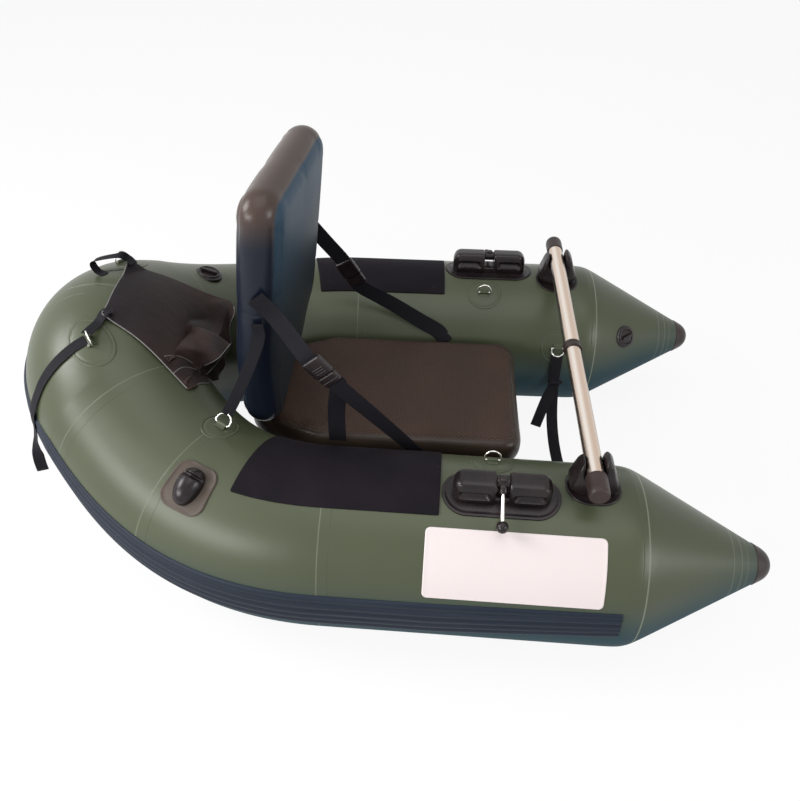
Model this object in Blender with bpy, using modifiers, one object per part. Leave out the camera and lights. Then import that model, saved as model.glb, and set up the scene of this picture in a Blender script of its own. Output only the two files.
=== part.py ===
"""Inflatable float boat for one angler: a U of air tubes, a seat with a folding backrest, a bar and a cargo cover.

Metres, +Z up. The bow tips point to +X, port is +Y, and the tubes rest on z = 0. The origin lies on the
floor under the middle of the hull. Places along a tube are distances aft of the bar, measured on its
centre line, and places around it are degrees from its top, positive to the outboard side."""

import math

import bmesh
import bpy
from mathutils import Matrix, Vector

# Clearances
GAP = 0.0003
BEND_LIFT = 0.0008

# Hull
TUBE_RADIUS = 0.19
TUBE_SIDES = 24
SKIN = 0.0012
ARM_OFFSET = 0.397
TOE_OUT = 0.022
TIP_REACH = 0.4136
CAP_REACH = 0.375
SEAM_REACH = 0.101
TIP_RADIUS = 0.022
BEND_REACH = 0.53
STERN_REACH = 1.0706
STERN_RADIUS = 0.212
STERN_ARC = 44.8
STERN_RISE = 0.17
RISE_POWER = 3.5
STEEPENING = 0.6
ARM_LEAD = 0.2528
ARC_LEAD = 0.1104
BEND_RINGS = 11
ARC_RINGS = 4
CAP_LIP = 0.002
CAP_EDGE = 0.006
CAP_SPIGOT = 0.02
BAFFLE_AFT = 0.50
BAFFLE_THICKNESS = 0.0015

# Rubbing strake: its front end, its lower and upper edges along the hull, and its ribs
STRAKE_FRONT = -0.07
STRAKE_LEVEL_AFT = 0.30
STRAKE_FRONT_ANGLES = (75, 95)
STRAKE_ANGLES = (77, 106)
STRAKE_BASE = 0.002
STRAKE_RIB = 0.0016
STRAKE_COLUMNS = 6
STATION_STEP = 0.2

# Glued pads and panels
PAD_THICKNESS = 0.003
PAD_ANGLE_STEP = 6.5
PAD_FRONT = 0.296
STARBOARD_PAD_REAR = 0.70
STARBOARD_PAD_ANGLES = (-50, 23)
PORT_PAD_REAR = 0.645
PORT_PAD_ANGLES = (-26, 25)
PANEL_THICKNESS = 0.001
PANEL_AFT = 0.145
PANEL_ANGLE = 51.25
PANEL_HALF_LENGTH = 0.175
PANEL_HALF_WIDTH = 0.0705
PANEL_CORNER = 0.018
PATCH_THICKNESS = 0.0014
PATCH_STEP = 0.025
BASE_THICKNESS = 0.0032
BASE_SINK = 0.0025

# D-rings: distances aft, and how far the front ones keep from the oarlocks' bases
FRONT_RING_AFT = 0.19
STARBOARD_RING_CLEARANCE = 0.0065
PORT_RING_CLEARANCE = 0.0031
INNER_RING_AFT = -0.011
SIDE_RING_AFT = 0.832
STARBOARD_STERN_RING_AFT = 1.156
PORT_STERN_RING_AFT = 1.188
RING_PATCH_RADIUS = 0.046
RING_WIRE = 0.002
RING_HALF_WIDTH = 0.017
RING_SHOULDER = 0.006
RING_ARC_POINTS = 9
KEEPER_LENGTH = 0.023
KEEPER_WIDTH = 0.010
KEEPER_HEIGHT = 0.0085
KEEPER_PLAY = 0.0005
KEEPER_SIDES = 8

# Carry handles
HANDLE_AFT = 0.781
HANDLE_ANGLE = 30
HANDLE_PATCH = (0.048, 0.052, 0.028)
GRIP_HALF_SIZES = (0.0275, 0.040, 0.030)
GRIP_SLOT = (0.036, 0.034, 0.011)
GRIP_SLOT_HEIGHT = 0.016

# Air valves
MAIN_VALVE_AFT = 1.004
MAIN_VALVE_ANGLE = -6
MAIN_VALVE_RADIUS = 0.034
BOW_VALVE_FORWARD = 0.101
BOW_VALVE_ANGLE = -57
BOW_VALVE_RADIUS = 0.030
VALVE_FLANGE = 0.0025
VALVE_RIM = 0.007
VALVE_RIM_WALL = 0.004
VALVE_RIM_SHARE = 0.8
VALVE_SKIRT = 0.006
CAP_DISC = 0.003
CAP_BAR_WIDTH = 0.007
CAP_BAR_HEIGHT = 0.006
VALVE_SIDES = 20
PAD_VALVE_RADIUS = 0.017
PAD_VALVE_HEIGHT = 0.007

# Oarlocks
OARLOCK_AFT = 0.175
OARLOCK_ANGLE = 6.5
OARLOCK_PATCH = (0.118, 0.052, 0.050)
OARLOCK_LENGTH = 0.195
OARLOCK_WIDTH = 0.054
OARLOCK_HEIGHT = 0.052
OARLOCK_BEVEL = 0.009
OARLOCK_SLOT = (0.052, 0.014, 0.012)
OARLOCK_SLOT_OFFSET = 0.052
OARLOCK_SLOT_HEIGHT = 0.027
OARLOCK_NOTCH = 0.026
OARLOCK_FLOOR = 0.016
HUB_HEIGHT = 0.040
HUB_RADIUS = 0.011
HUB_HALF_LENGTH = 0.0125
TRUNNION_RADIUS = 0.004
TRUNNION_REACH = 0.006
PIN_RADIUS = 0.004
PIN_LENGTH = 0.088
PIN_DROP = 27
PIN_COLLAR_RADIUS = 0.0075
PIN_COLLAR_LENGTH = 0.022
BALL_RADIUS = 0.012
ROUND_SIDES = 12

# Bar across the arms: its axis stands this far above their tops
BAR_RISE = 0.06325
BAR_HALF_LENGTH = 0.468
OUTER_RADIUS = 0.019
OUTER_WALL = 0.0012
INNER_RADIUS = 0.0175
INNER_WALL = 0.0012
INNER_OVERLAP = 0.11
BAR_CAP_RADIUS = 0.02125
BAR_CAP_LENGTH = 0.052
BAR_CAP_END = 0.004
COLLAR_RADIUS = 0.0215
COLLAR_LENGTH = 0.02
COLLAR_RIB = 0.0012
BAR_SIDES = 24

# Cradles of the bar
CRADLE_FORWARD = 0.0095
CRADLE_ANGLE = -5
CRADLE_PATCH = (0.056, 0.050, 0.045)
CRADLE_FOOT = (0.092, 0.062)
CRADLE_CREST = (0.064, 0.040)
CRADLE_RISE = 0.018
CRADLE_BEVEL = 0.006
CRADLE_DEPTH = 0.02

# Seat and its sling
SLING_THICKNESS = 0.0012
SLING_FRONT = 0.16
SLING_REAR = 0.60
SLING_EDGE_ANGLE = -82.2
SLING_FLAP_ANGLES = (-108, -100, -91)
SLING_SPANS = (0.14, 0.07, 0.0)
SEAT_THICKNESS = 0.085
SEAT_FRONT = 0.11
SEAT_REAR = 0.75
SEAT_HALF_WIDTH = 0.20
SEAT_TAPER_FROM = 0.575
SEAT_REAR_HALF_WIDTH = 0.122
SEAT_CORNER = 0.055
SEAT_CROWN = 0.004

# Backrest
BACK_REACH = 0.695
BACK_THICKNESS = 0.09
BACK_HALF_WIDTH = 0.20
BACK_HEIGHT = 0.58
BACK_LEAN = 6.5
BACK_CORNER = 0.056
BACK_CROWN = 0.003
BACK_VALVE_HEIGHT = 0.09
BACK_VALVE_OFFSET = 0.11

# Straps and buckles: heights up the backrest, distances aft and angles on the tubes. The front strap's
# points are shares of its rings' distance from the middle, and drops below them
WEBBING = 0.0015
SIDE_STRAP_WIDTH = 0.040
SIDE_ANCHOR_HEIGHT = 0.29
SIDE_ANCHOR_BACK = 0.03
SIDE_ANCHOR_RUN = 0.05
STARBOARD_BUCKLE = (-0.54, 0.232, 0.51)
PORT_BUCKLE = (-0.53, 0.236, 0.45)
STARBOARD_STRAP_FOOT = 0.345
PORT_STRAP_FOOT = 0.31
STRAP_FOOT_ANGLES = (-57, -66)
STRAP_FOOT_RUN = 0.022
BUCKLE_WIDTH = 0.046
SOCKET_LENGTH = 0.048
SOCKET_THICKNESS = 0.013
SOCKET_WALL = 0.0025
POCKET_DEPTH = 0.034
PLUG_LENGTH = 0.026
PLUG_THICKNESS = 0.011
TONGUE_WIDTH = 0.034
TONGUE_THICKNESS = 0.006
TONGUE_LENGTH = 0.030
TONGUE_ROOT = 0.008
BUCKLE_BEVEL = 0.0015
TAIL_END = (-0.523, -0.222, 0.315)
TAIL_PLAY = 0.0006
STRAP_LEAD = 0.012
REAR_STRAP_WIDTH = 0.025
REAR_STRAP_HEIGHT = 0.262
REAR_STRAP_BEND = 0.04
REAR_STRAP_BACK = 0.0
FRONT_STRAP_WIDTH = 0.030
FRONT_STRAP_PORT = ((0.975, 0.031), (0.91, 0.091), (0.623, 0.151), (0.196, 0.167))
FRONT_STRAP_STARBOARD = ((-0.335, 0.143), (-0.767, 0.091), (-0.975, 0.031))
STERN_STRAP_WIDTH = 0.020
STERN_STRAP_AFT = (1.162, 1.135)
STERN_STRAP_ANGLES = (19, 90)
STERN_STRAP_END = 0.20
STERN_STRAP_STEPS = 5
STERN_STRAP_STEP = 7.5

# Cargo cover: its corners in plan, how far its ends stand above the arms' tops, and how it hangs
COVER_REAR = ((-1.045, 0.075), (-1.035, -0.10))
COVER_FRONT = ((-0.835, 0.165), (-0.845, -0.195))
COVER_REAR_RISE = 0.16825
COVER_FRONT_RISE = 0.02825
COVER_SAG = 0.02
COVER_THICKNESS = 0.0018
COVER_LIFT = 0.0007
COVER_REAR_LIFT = 0.004
COVER_ROWS = 12
COVER_COLUMNS = 14
COVER_FOLD = 0.005
COVER_FOLDS = 3
FLAP_DROP = 0.055
FLAP_REACH = 0.014
FLAP_GATHER = 0.12
FLAP_ROWS = 3

# Colours: base colour, roughness, metallic
OLIVE = ((0.060, 0.078, 0.040), 0.45, 0.0)
DARK_OLIVE = ((0.050, 0.060, 0.036), 0.6, 0.0)
BLACK_RUBBER = ((0.012, 0.012, 0.016), 0.5, 0.0)
BLACK_PLASTIC = ((0.010, 0.010, 0.012), 0.35, 0.0)
BLACK_FOAM = ((0.010, 0.010, 0.018), 0.8, 0.0)
PALE = ((0.86, 0.78, 0.76), 0.5, 0.0)
BROWN_FABRIC = ((0.028, 0.021, 0.018), 0.5, 0.0)
WEBBING_BLACK = ((0.016, 0.014, 0.018), 0.75, 0.0)
STEEL = ((0.72, 0.70, 0.66), 0.25, 1.0)
ALUMINIUM = ((0.75, 0.68, 0.64), 0.35, 1.0)

SIDES = {"starboard": -1, "port": 1}
HALF_FACET = math.pi / TUBE_SIDES
AXIS_HEIGHT = TUBE_RADIUS * math.cos(HALF_FACET)
ARM_TOP = 2 * AXIS_HEIGHT
STRAKE_LIFT = GAP + 0.0004
HULL_LENGTH = TIP_REACH + STERN_REACH + TUBE_RADIUS + STRAKE_LIFT + STRAKE_BASE + STRAKE_RIB
BAR_X = HULL_LENGTH / 2 - TIP_REACH
BAR_HEIGHT = ARM_TOP + BAR_RISE
SLING_HEIGHT = AXIS_HEIGHT + TUBE_RADIUS * math.cos(math.radians(SLING_EDGE_ANGLE))
SEAT_TOP = SLING_HEIGHT + GAP + SEAT_THICKNESS
PADS = {
    "starboard": (PAD_FRONT, STARBOARD_PAD_REAR, *STARBOARD_PAD_ANGLES),
    "port": (PAD_FRONT, PORT_PAD_REAR, *PORT_PAD_ANGLES),
}
BUCKLE_CENTRES = {"starboard": STARBOARD_BUCKLE, "port": PORT_BUCKLE}
STRAP_FEET = {"starboard": STARBOARD_STRAP_FOOT, "port": PORT_STRAP_FOOT}


def beside_oarlock(clearance):
    """The angle of a ring's patch that stands this far inboard of the oarlock's base."""
    return OARLOCK_ANGLE - math.degrees((OARLOCK_PATCH[1] + RING_PATCH_RADIUS + clearance) / TUBE_RADIUS)


# D-rings: side, distance aft, angle, tilt from the surface's normal toward outboard
RING_PLACES = {
    "starboard_front": (-1, FRONT_RING_AFT, beside_oarlock(STARBOARD_RING_CLEARANCE), 20),
    "port_front": (1, FRONT_RING_AFT, beside_oarlock(PORT_RING_CLEARANCE), 20),
    "starboard_inner": (-1, INNER_RING_AFT, -67, -95),
    "port_inner": (1, INNER_RING_AFT, -67, -95),
    "starboard_side": (-1, SIDE_RING_AFT, -18, -35),
    "starboard_stern": (-1, STARBOARD_STERN_RING_AFT, 10, 0),
    "port_stern": (1, PORT_STERN_RING_AFT, 9, 0),
}


def clear_scene():
    for obj in list(bpy.data.objects):
        bpy.data.objects.remove(obj, do_unlink=True)
    for name in ("Inflatable boat", "Cutters"):
        collection = bpy.data.collections.new(name)
        bpy.context.scene.collection.children.link(collection)
    return bpy.data.collections["Inflatable boat"], bpy.data.collections["Cutters"]


PARTS, CUTTERS = clear_scene()


# Placing on the hull
def from_bar(forward, across, height):
    """The world point this far forward of the bar."""
    return Vector((BAR_X + forward, across, height))


def arm_direction(side):
    return Vector((1, side * TOE_OUT, 0)).normalized()


def arm_centre(forward, side=1):
    return from_bar(forward, side * (ARM_OFFSET + TOE_OUT * forward), AXIS_HEIGHT)


def arc_point(travel):
    """A point in plan of the stern's arc, for travel from 1 where it starts to 2 in the middle of the stern."""
    turn = math.radians(STERN_ARC) * (2 - travel)
    return Vector((STERN_RADIUS * (1 - math.cos(turn)) - STERN_REACH, STERN_RADIUS * math.sin(turn)))


def bend_point(travel):
    """A point in plan between the arm and the stern's arc, for travel from 0 to 1."""
    heading = math.radians(90 - STERN_ARC)
    start = Vector((-BEND_REACH, ARM_OFFSET - TOE_OUT * BEND_REACH))
    lead = start - ARM_LEAD * Vector((1, TOE_OUT))
    end = arc_point(1)
    trail = end + ARC_LEAD * Vector((math.cos(heading), math.sin(heading)))
    rest = 1 - travel
    return rest**3 * start + 3 * rest**2 * travel * lead + 3 * rest * travel**2 * trail + travel**3 * end


def bend_centre(travel):
    """A point of the port tube's centre line, for travel from 0 at the arm to 2 in the middle of the stern."""
    plan = bend_point(travel) if travel < 1 else arc_point(travel)
    share = max(-plan.x - BEND_REACH, 0) / (STERN_REACH - BEND_REACH)
    return from_bar(plan.x, plan.y, AXIS_HEIGHT + STERN_RISE * share**RISE_POWER)


def ring_at(centre, heading):
    """A ring of the port tube: its centre, its outboard direction and its upward direction. Aft it stands steeper."""
    outboard = Vector((heading.y, -heading.x, 0)).normalized()
    share = max(-centre.x + BAR_X - BEND_REACH, 0) / (STERN_REACH - BEND_REACH)
    leaning = Vector((heading.x, heading.y, heading.z * (1 - STEEPENING * share**2)))
    return centre, outboard, outboard.cross(leaning).normalized()


def tube_rings():
    step = 1e-4
    rings = [ring_at(arm_centre(forward), -arm_direction(1)) for forward in (SEAM_REACH, -BEND_REACH)]
    travels = [index / BEND_RINGS for index in range(1, BEND_RINGS + 1)]
    travels += [1 + index / ARC_RINGS for index in range(1, ARC_RINGS)]
    for travel in travels:
        rings.append(ring_at(bend_centre(travel), bend_centre(travel + step) - bend_centre(travel - step)))
    stern = bend_centre(2) + Vector((0, GAP / 2, 0))
    rings.append(ring_at(stern, Vector((0, -1, 0))))
    return rings


def ring_distances(rings):
    """How far each ring lies aft of the bar, along the centre line."""
    distances = [-(rings[0][0] - arm_centre(0)).length]
    for first, second in zip(rings, rings[1:]):
        distances.append(distances[-1] + (second[0] - first[0]).length)
    return distances


RINGS = tube_rings()
RING_AFT = ring_distances(RINGS)


def station(side, aft):
    """Centre, outboard and upward directions of one side's tube, this far aft of the bar."""
    index = max(i for i in range(len(RINGS) - 1) if RING_AFT[i] <= aft or i == 0)
    share = (aft - RING_AFT[index]) / (RING_AFT[index + 1] - RING_AFT[index])
    mirror = Vector((1, side, 1))
    return [first.lerp(second, share) * mirror for first, second in zip(RINGS[index], RINGS[index + 1])]


def on_tube(side, aft, angle, lift=0.0):
    """The point of the hull this far aft and this far round, lifted off its surface."""
    centre, outboard, up = station(side, aft)
    turn = math.radians(angle)
    return centre + (TUBE_RADIUS + lift) * (math.sin(turn) * outboard + math.cos(turn) * up)


def tube_frame(side, aft, angle, lift=0.0):
    """A frame on the hull: X forward along the tube, Y round it toward port, Z away from it."""
    reach = 0.004
    away = (on_tube(side, aft, angle, 1) - on_tube(side, aft, angle)).normalized()
    forward = on_tube(side, aft - reach, angle) - on_tube(side, aft + reach, angle)
    forward = (forward - forward.dot(away) * away).normalized()
    return frame_of(on_tube(side, aft, angle, lift), forward, away)


def frame_of(origin, along, away):
    """A frame with X along the first direction and Z as near the second as can be."""
    along = along.normalized()
    across = away.cross(along).normalized()
    turned = Matrix((along, across, along.cross(across))).transposed()
    return Matrix.Translation(origin) @ turned.to_4x4()


def fitting_lift(aft, half_length):
    """How far a glued patch stands off: more where the tube bends under it."""
    bent = aft + half_length > BEND_REACH
    return GAP + PATCH_STEP**2 / (8 * TUBE_RADIUS) + (BEND_LIFT if bent else 0)


# Making objects
def paint(obj, look):
    colour, roughness, metallic = look
    material = bpy.data.materials.new(obj.name)
    material.use_nodes = True
    shader = material.node_tree.nodes["Principled BSDF"]
    shader.inputs["Base Color"].default_value = (*colour, 1)
    shader.inputs["Roughness"].default_value = roughness
    shader.inputs["Metallic"].default_value = metallic
    obj.data.materials.append(material)


def add(name, bm, look, place=None, origin=None):
    """Makes an object of bm, whose points are in the frame of place, or in world space with this origin."""
    place = place or Matrix.Translation(origin or Vector())
    if origin is not None:
        bm.transform(Matrix.Translation(-origin))
    mesh = bpy.data.meshes.new(name)
    bm.to_mesh(mesh)
    bm.free()
    mesh.shade_smooth()
    mesh.set_sharp_from_angle(angle=math.radians(35))
    obj = bpy.data.objects.new(name, mesh)
    obj.matrix_world = place
    PARTS.objects.link(obj)
    paint(obj, look)
    return obj


def as_cutter(obj):
    PARTS.objects.unlink(obj)
    CUTTERS.objects.link(obj)
    obj.hide_render = True
    obj.display_type = "WIRE"
    return obj


def combine(obj, other, operation):
    """Cuts or joins the other object, which becomes a helper."""
    modifier = obj.modifiers.new(other.name, "BOOLEAN")
    modifier.operation = operation
    modifier.object = other
    if other.name not in CUTTERS.objects:
        as_cutter(other)


def round_edges(obj, width, segments=2):
    modifier = obj.modifiers.new("Rounded edges", "BEVEL")
    modifier.width = width
    modifier.segments = segments
    modifier.limit_method = "ANGLE"


def box(name, sizes, look, place, centre=(0, 0, 0), crest=(1, 1)):
    """A box in the frame of place. Its top can be narrower, by the shares in crest."""
    bm = bmesh.new()
    bmesh.ops.create_cube(bm, size=1)
    for vert in bm.verts:
        if vert.co.z > 0:
            vert.co.x *= crest[0]
            vert.co.y *= crest[1]
    bmesh.ops.scale(bm, vec=sizes, verts=bm.verts)
    bmesh.ops.translate(bm, vec=centre, verts=bm.verts)
    return add(name, bm, look, place)


def cylinder(name, radius, length, look, place, sides=ROUND_SIDES):
    """A cylinder along the X axis of place, centred on it."""
    bm = bmesh.new()
    bmesh.ops.create_cone(bm, cap_ends=True, segments=sides, radius1=radius, radius2=radius, depth=length)
    bm.transform(Matrix.Rotation(math.pi / 2, 4, "Y"))
    return add(name, bm, look, place)


def turned(name, profile, look, place, sides):
    """A turned piece about the Z axis of place. The profile runs down its outer side as (radius, height)."""
    bm = bmesh.new()
    verts = [bm.verts.new((radius, 0, height)) for radius, height in profile]
    closed = profile[0][0] > 0
    for first, second in zip(verts, verts[1:] + verts[:1] if closed else verts[1:]):
        bm.edges.new((first, second))
    obj = add(name, bm, look, place)
    screw = obj.modifiers.new("Turned", "SCREW")
    screw.steps = sides
    screw.render_steps = sides
    screw.use_merge_vertices = True
    screw.merge_threshold = 0.00005
    return obj


def grid(columns, rows):
    """A flat grid whose vertices stand at whole numbers, counted from 0."""
    bm = bmesh.new()
    bmesh.ops.create_grid(bm, x_segments=columns - 1, y_segments=rows - 1, size=1)
    for vert in bm.verts:
        vert.co.x = round((vert.co.x + 1) / 2 * (columns - 1))
        vert.co.y = round((vert.co.y + 1) / 2 * (rows - 1))
    return bm


def slab(name, us, vs, place_point, look, origin=None):
    """A sheet of two layers: place_point(u, v, layer) gives each corner, for layer 0 and 1."""
    bm = grid(len(us), len(vs))
    raised = bmesh.ops.extrude_face_region(bm, geom=bm.faces[:])["geom"]
    for vert in raised:
        if isinstance(vert, bmesh.types.BMVert):
            vert.co.z = 1
    for vert in bm.verts:
        column, row, layer = (round(value) for value in vert.co)
        vert.co = place_point(us[column], vs[row], layer)
    bmesh.ops.remove_doubles(bm, verts=bm.verts, dist=1e-6)
    bmesh.ops.recalc_face_normals(bm, faces=bm.faces)
    return add(name, bm, look, origin=origin)


def spread(low, high, step):
    """Evenly spaced values from low to high, no further apart than step."""
    count = max(1, math.ceil((high - low) / step - 1e-9))
    return [low + (high - low) * index / count for index in range(count + 1)]


def with_rings(low, high, step):
    """Distances aft from low to high, with one at each ring of the tube's bend."""
    stops = [low] + [aft for aft in RING_AFT[1:-1] if low < aft < high] + [high]
    values = []
    for first, second in zip(stops, stops[1:]):
        values += spread(first, second, step)[:-1]
    return values + [high]


def rounded(x, y, half_length, half_width, corner):
    """Pulls the corners of a rectangle's grid in, so that its outline is rounded."""
    across = max(abs(x) - (half_length - corner), 0) / corner
    along = max(abs(y) - (half_width - corner), 0) / corner
    if across == 0 or along == 0:
        return x, y
    pulled_x = half_length - corner + corner * across * math.sqrt(1 - along**2 / 2)
    pulled_y = half_width - corner + corner * along * math.sqrt(1 - across**2 / 2)
    return math.copysign(pulled_x, x), math.copysign(pulled_y, y)


def outline_stops(half, corner, step):
    """Grid lines over one side of a rounded rectangle."""
    inner = half - corner
    middle = spread(-inner, inner, step) if inner > 0 else [0.0]
    edge = [inner + corner * share for share in (0.5, 1.0)]
    return [-value for value in reversed(edge)] + middle + edge


def patch(name, side, aft, angle, sizes, thickness, look, lift):
    """A rounded patch glued on the hull, of half length, half width and corner radius."""
    half_length, half_width, corner = sizes

    def place_point(u, v, layer):
        x, y = rounded(u, v, half_length, half_width, corner)
        return on_tube(side, aft - x, angle + math.degrees(y / TUBE_RADIUS), lift + layer * thickness)

    bent = aft + half_length > BEND_REACH
    us = outline_stops(half_length, corner, PATCH_STEP if bent else 2 * half_length)
    vs = outline_stops(half_width, corner, PATCH_STEP)
    return slab(name, us, vs, place_point, look)


def moulded_base(name, side, aft, angle, sizes, look):
    """The base of a moulded fitting. It starts inside the tube, and is cut back to the skin later."""
    return patch(name, side, aft, angle, sizes, BASE_SINK + BASE_THICKNESS, look, -BASE_SINK)


def tube_grid(side, distances, lift):
    """The hull's surface between these distances, as an open sleeve whose faces point out."""
    bm = grid(len(distances), TUBE_SIDES + 1)
    for vert in bm.verts:
        angle = math.degrees((2 * vert.co.y + 1) * HALF_FACET)
        vert.co = on_tube(side, distances[round(vert.co.x)], angle, lift)
    bmesh.ops.remove_doubles(bm, verts=bm.verts, dist=1e-6)
    if side > 0:
        bmesh.ops.reverse_faces(bm, faces=bm.faces)
    return bm


def tube_cutter(name, side, low, high):
    """What the hull fills between two distances, with the gap that a fitting keeps."""
    bm = tube_grid(side, with_rings(low, high, 1), GAP / math.cos(HALF_FACET))
    bmesh.ops.holes_fill(bm, edges=[edge for edge in bm.edges if edge.is_boundary])
    bmesh.ops.recalc_face_normals(bm, faces=bm.faces)
    return as_cutter(add(name, bm, OLIVE))


# Hull
def make_tube(name, side):
    obj = add(name, tube_grid(side, RING_AFT, 0), OLIVE)
    solidify = obj.modifiers.new("Skin", "SOLIDIFY")
    solidify.thickness = SKIN


def turned_frame(origin, axis, up):
    """A frame whose Z is the axis, turned so that a facet of a 24-sided piece faces up."""
    across = axis.cross(up).normalized()
    upright = across.cross(axis)
    turn = Matrix((upright, -across, axis)).transposed().to_4x4()
    return Matrix.Translation(origin) @ turn @ Matrix.Rotation(HALF_FACET, 4, "Z")


def cone_radius(forward):
    share = (forward - SEAM_REACH) / (TIP_REACH - SEAM_REACH)
    return TUBE_RADIUS + (TIP_RADIUS - TUBE_RADIUS) * share


def make_cone(name, side):
    """An open cone, from the seam to the rim under its nose cap."""
    seam = GAP
    rim = CAP_REACH - SEAM_REACH
    profile = [
        (cone_radius(CAP_REACH), rim),
        (TUBE_RADIUS, seam),
        (TUBE_RADIUS - SKIN, seam),
        (cone_radius(CAP_REACH) - SKIN, rim),
    ]
    place = turned_frame(arm_centre(SEAM_REACH, side), arm_direction(side), Vector((0, 0, 1)))
    turned(name, profile, OLIVE, place, TUBE_SIDES)


def make_nose_cap(name, side):
    """The cap of the cone's tip, with a spigot that fits inside the cone's rim."""
    tip = TIP_REACH - SEAM_REACH
    rim = CAP_REACH - SEAM_REACH
    spigot = cone_radius(CAP_REACH) - (SKIN + GAP) / math.cos(HALF_FACET)
    profile = [
        (0, tip),
        (TIP_RADIUS - CAP_EDGE, tip),
        (TIP_RADIUS, tip - CAP_EDGE),
        (cone_radius(CAP_REACH) + CAP_LIP, rim + GAP),
        (spigot, rim + GAP),
        (spigot, rim - CAP_SPIGOT),
        (0, rim - CAP_SPIGOT),
    ]
    place = turned_frame(arm_centre(SEAM_REACH, side), arm_direction(side), Vector((0, 0, 1)))
    turned(name, profile, BLACK_RUBBER, place, TUBE_SIDES)


def make_baffle():
    """The wall that parts the two air chambers, inside the port arm."""
    radius = TUBE_RADIUS - (SKIN + GAP) / math.cos(HALF_FACET)
    profile = [(0, BAFFLE_THICKNESS), (radius, BAFFLE_THICKNESS), (radius, 0), (0, 0)]
    place = turned_frame(arm_centre(-BAFFLE_AFT), arm_direction(1), Vector((0, 0, 1)))
    turned("chamber_baffle", profile, DARK_OLIVE, place, TUBE_SIDES)


def make_strake():
    """One ribbed strip round the outside, from the port arm over the stern to the starboard arm."""
    distances = with_rings(STRAKE_FRONT, RING_AFT[-1], STATION_STEP)
    route = [(1, aft) for aft in distances] + [(-1, aft) for aft in reversed(distances)]

    def place_point(stop, column, layer):
        side, aft = stop
        share = min(1, (aft - STRAKE_FRONT) / (STRAKE_LEVEL_AFT - STRAKE_FRONT))
        low, high = (a + (b - a) * share for a, b in zip(STRAKE_FRONT_ANGLES, STRAKE_ANGLES))
        angle = low + (high - low) * column / STRAKE_COLUMNS
        thickness = STRAKE_BASE + (STRAKE_RIB if column % 2 else 0)
        return on_tube(side, aft, angle, STRAKE_LIFT + layer * thickness)

    slab("rubbing_strake", route, range(STRAKE_COLUMNS + 1), place_point, BLACK_RUBBER)


def make_wear_pad(name, side, bounds):
    front, rear, low, high = bounds
    lift = GAP + (TUBE_RADIUS * math.radians(PAD_ANGLE_STEP)) ** 2 / (8 * TUBE_RADIUS)

    def place_point(aft, angle, layer):
        return on_tube(side, aft, angle, lift + layer * PAD_THICKNESS)

    slab(name, with_rings(front, rear, STATION_STEP), spread(low, high, PAD_ANGLE_STEP), place_point, BLACK_FOAM)


def make_side_panel(name, side):
    sizes = (PANEL_HALF_LENGTH, PANEL_HALF_WIDTH, PANEL_CORNER)
    lift = fitting_lift(PANEL_AFT, PANEL_HALF_LENGTH)
    patch(name, side, PANEL_AFT, PANEL_ANGLE, sizes, PANEL_THICKNESS, PALE, lift)


# Fittings
def make_handle(name, side):
    """A moulded carry handle: a patch, and an ovoid grip with a finger hollow at its inboard end."""
    body = moulded_base(name, side, HANDLE_AFT, HANDLE_ANGLE, HANDLE_PATCH, BLACK_RUBBER)
    place = tube_frame(side, HANDLE_AFT, HANDLE_ANGLE)
    bm = bmesh.new()
    bmesh.ops.create_uvsphere(bm, u_segments=14, v_segments=8, radius=1)
    bmesh.ops.scale(bm, vec=GRIP_HALF_SIZES, verts=bm.verts)
    grip = add(name + "_grip", bm, BLACK_RUBBER, place)
    inboard = -side * (GRIP_HALF_SIZES[1] - GRIP_SLOT[1] / 2 + GAP)
    slot = box(name + "_slot", GRIP_SLOT, BLACK_RUBBER, place, (0, inboard, GRIP_SLOT_HEIGHT))
    combine(grip, slot, "DIFFERENCE")
    combine(body, grip, "UNION")
    reach = GRIP_HALF_SIZES[1] * 2
    cutter = tube_cutter(name + "_seat", side, HANDLE_AFT - reach, HANDLE_AFT + reach)
    combine(body, cutter, "DIFFERENCE")


def valve_profile(radius):
    """A flange with a raised rim round a recess."""
    rim = radius * VALVE_RIM_SHARE
    return [
        (0, VALVE_FLANGE),
        (rim - VALVE_RIM_WALL, VALVE_FLANGE),
        (rim - VALVE_RIM_WALL, VALVE_RIM),
        (rim, VALVE_RIM),
        (rim, VALVE_FLANGE),
        (radius, VALVE_FLANGE - 0.0008),
        (radius, -VALVE_SKIRT),
        (0, -VALVE_SKIRT),
    ]


def make_valve(name, radius, place):
    """A valve body and its screw cap with a grip bar. The cap turns about the Z axis of place."""
    body = turned(name, valve_profile(radius), BLACK_RUBBER, place, VALVE_SIDES)
    cap_radius = radius * VALVE_RIM_SHARE - VALVE_RIM_WALL - 2 * GAP
    base = VALVE_FLANGE + GAP
    profile = [(0, base + CAP_DISC), (cap_radius, base + CAP_DISC), (cap_radius, base), (0, base)]
    cap = turned(name + "_cap", profile, BLACK_PLASTIC, place, VALVE_SIDES)
    overlap = 0.001
    height = base + CAP_DISC + (CAP_BAR_HEIGHT - overlap) / 2
    sizes = (2 * cap_radius - 0.004, CAP_BAR_WIDTH, CAP_BAR_HEIGHT + overlap)
    grip = box(name + "_bar", sizes, BLACK_PLASTIC, place, (0, 0, height))
    round_edges(grip, 0.0015, 1)
    combine(cap, grip, "UNION")
    return body


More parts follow.
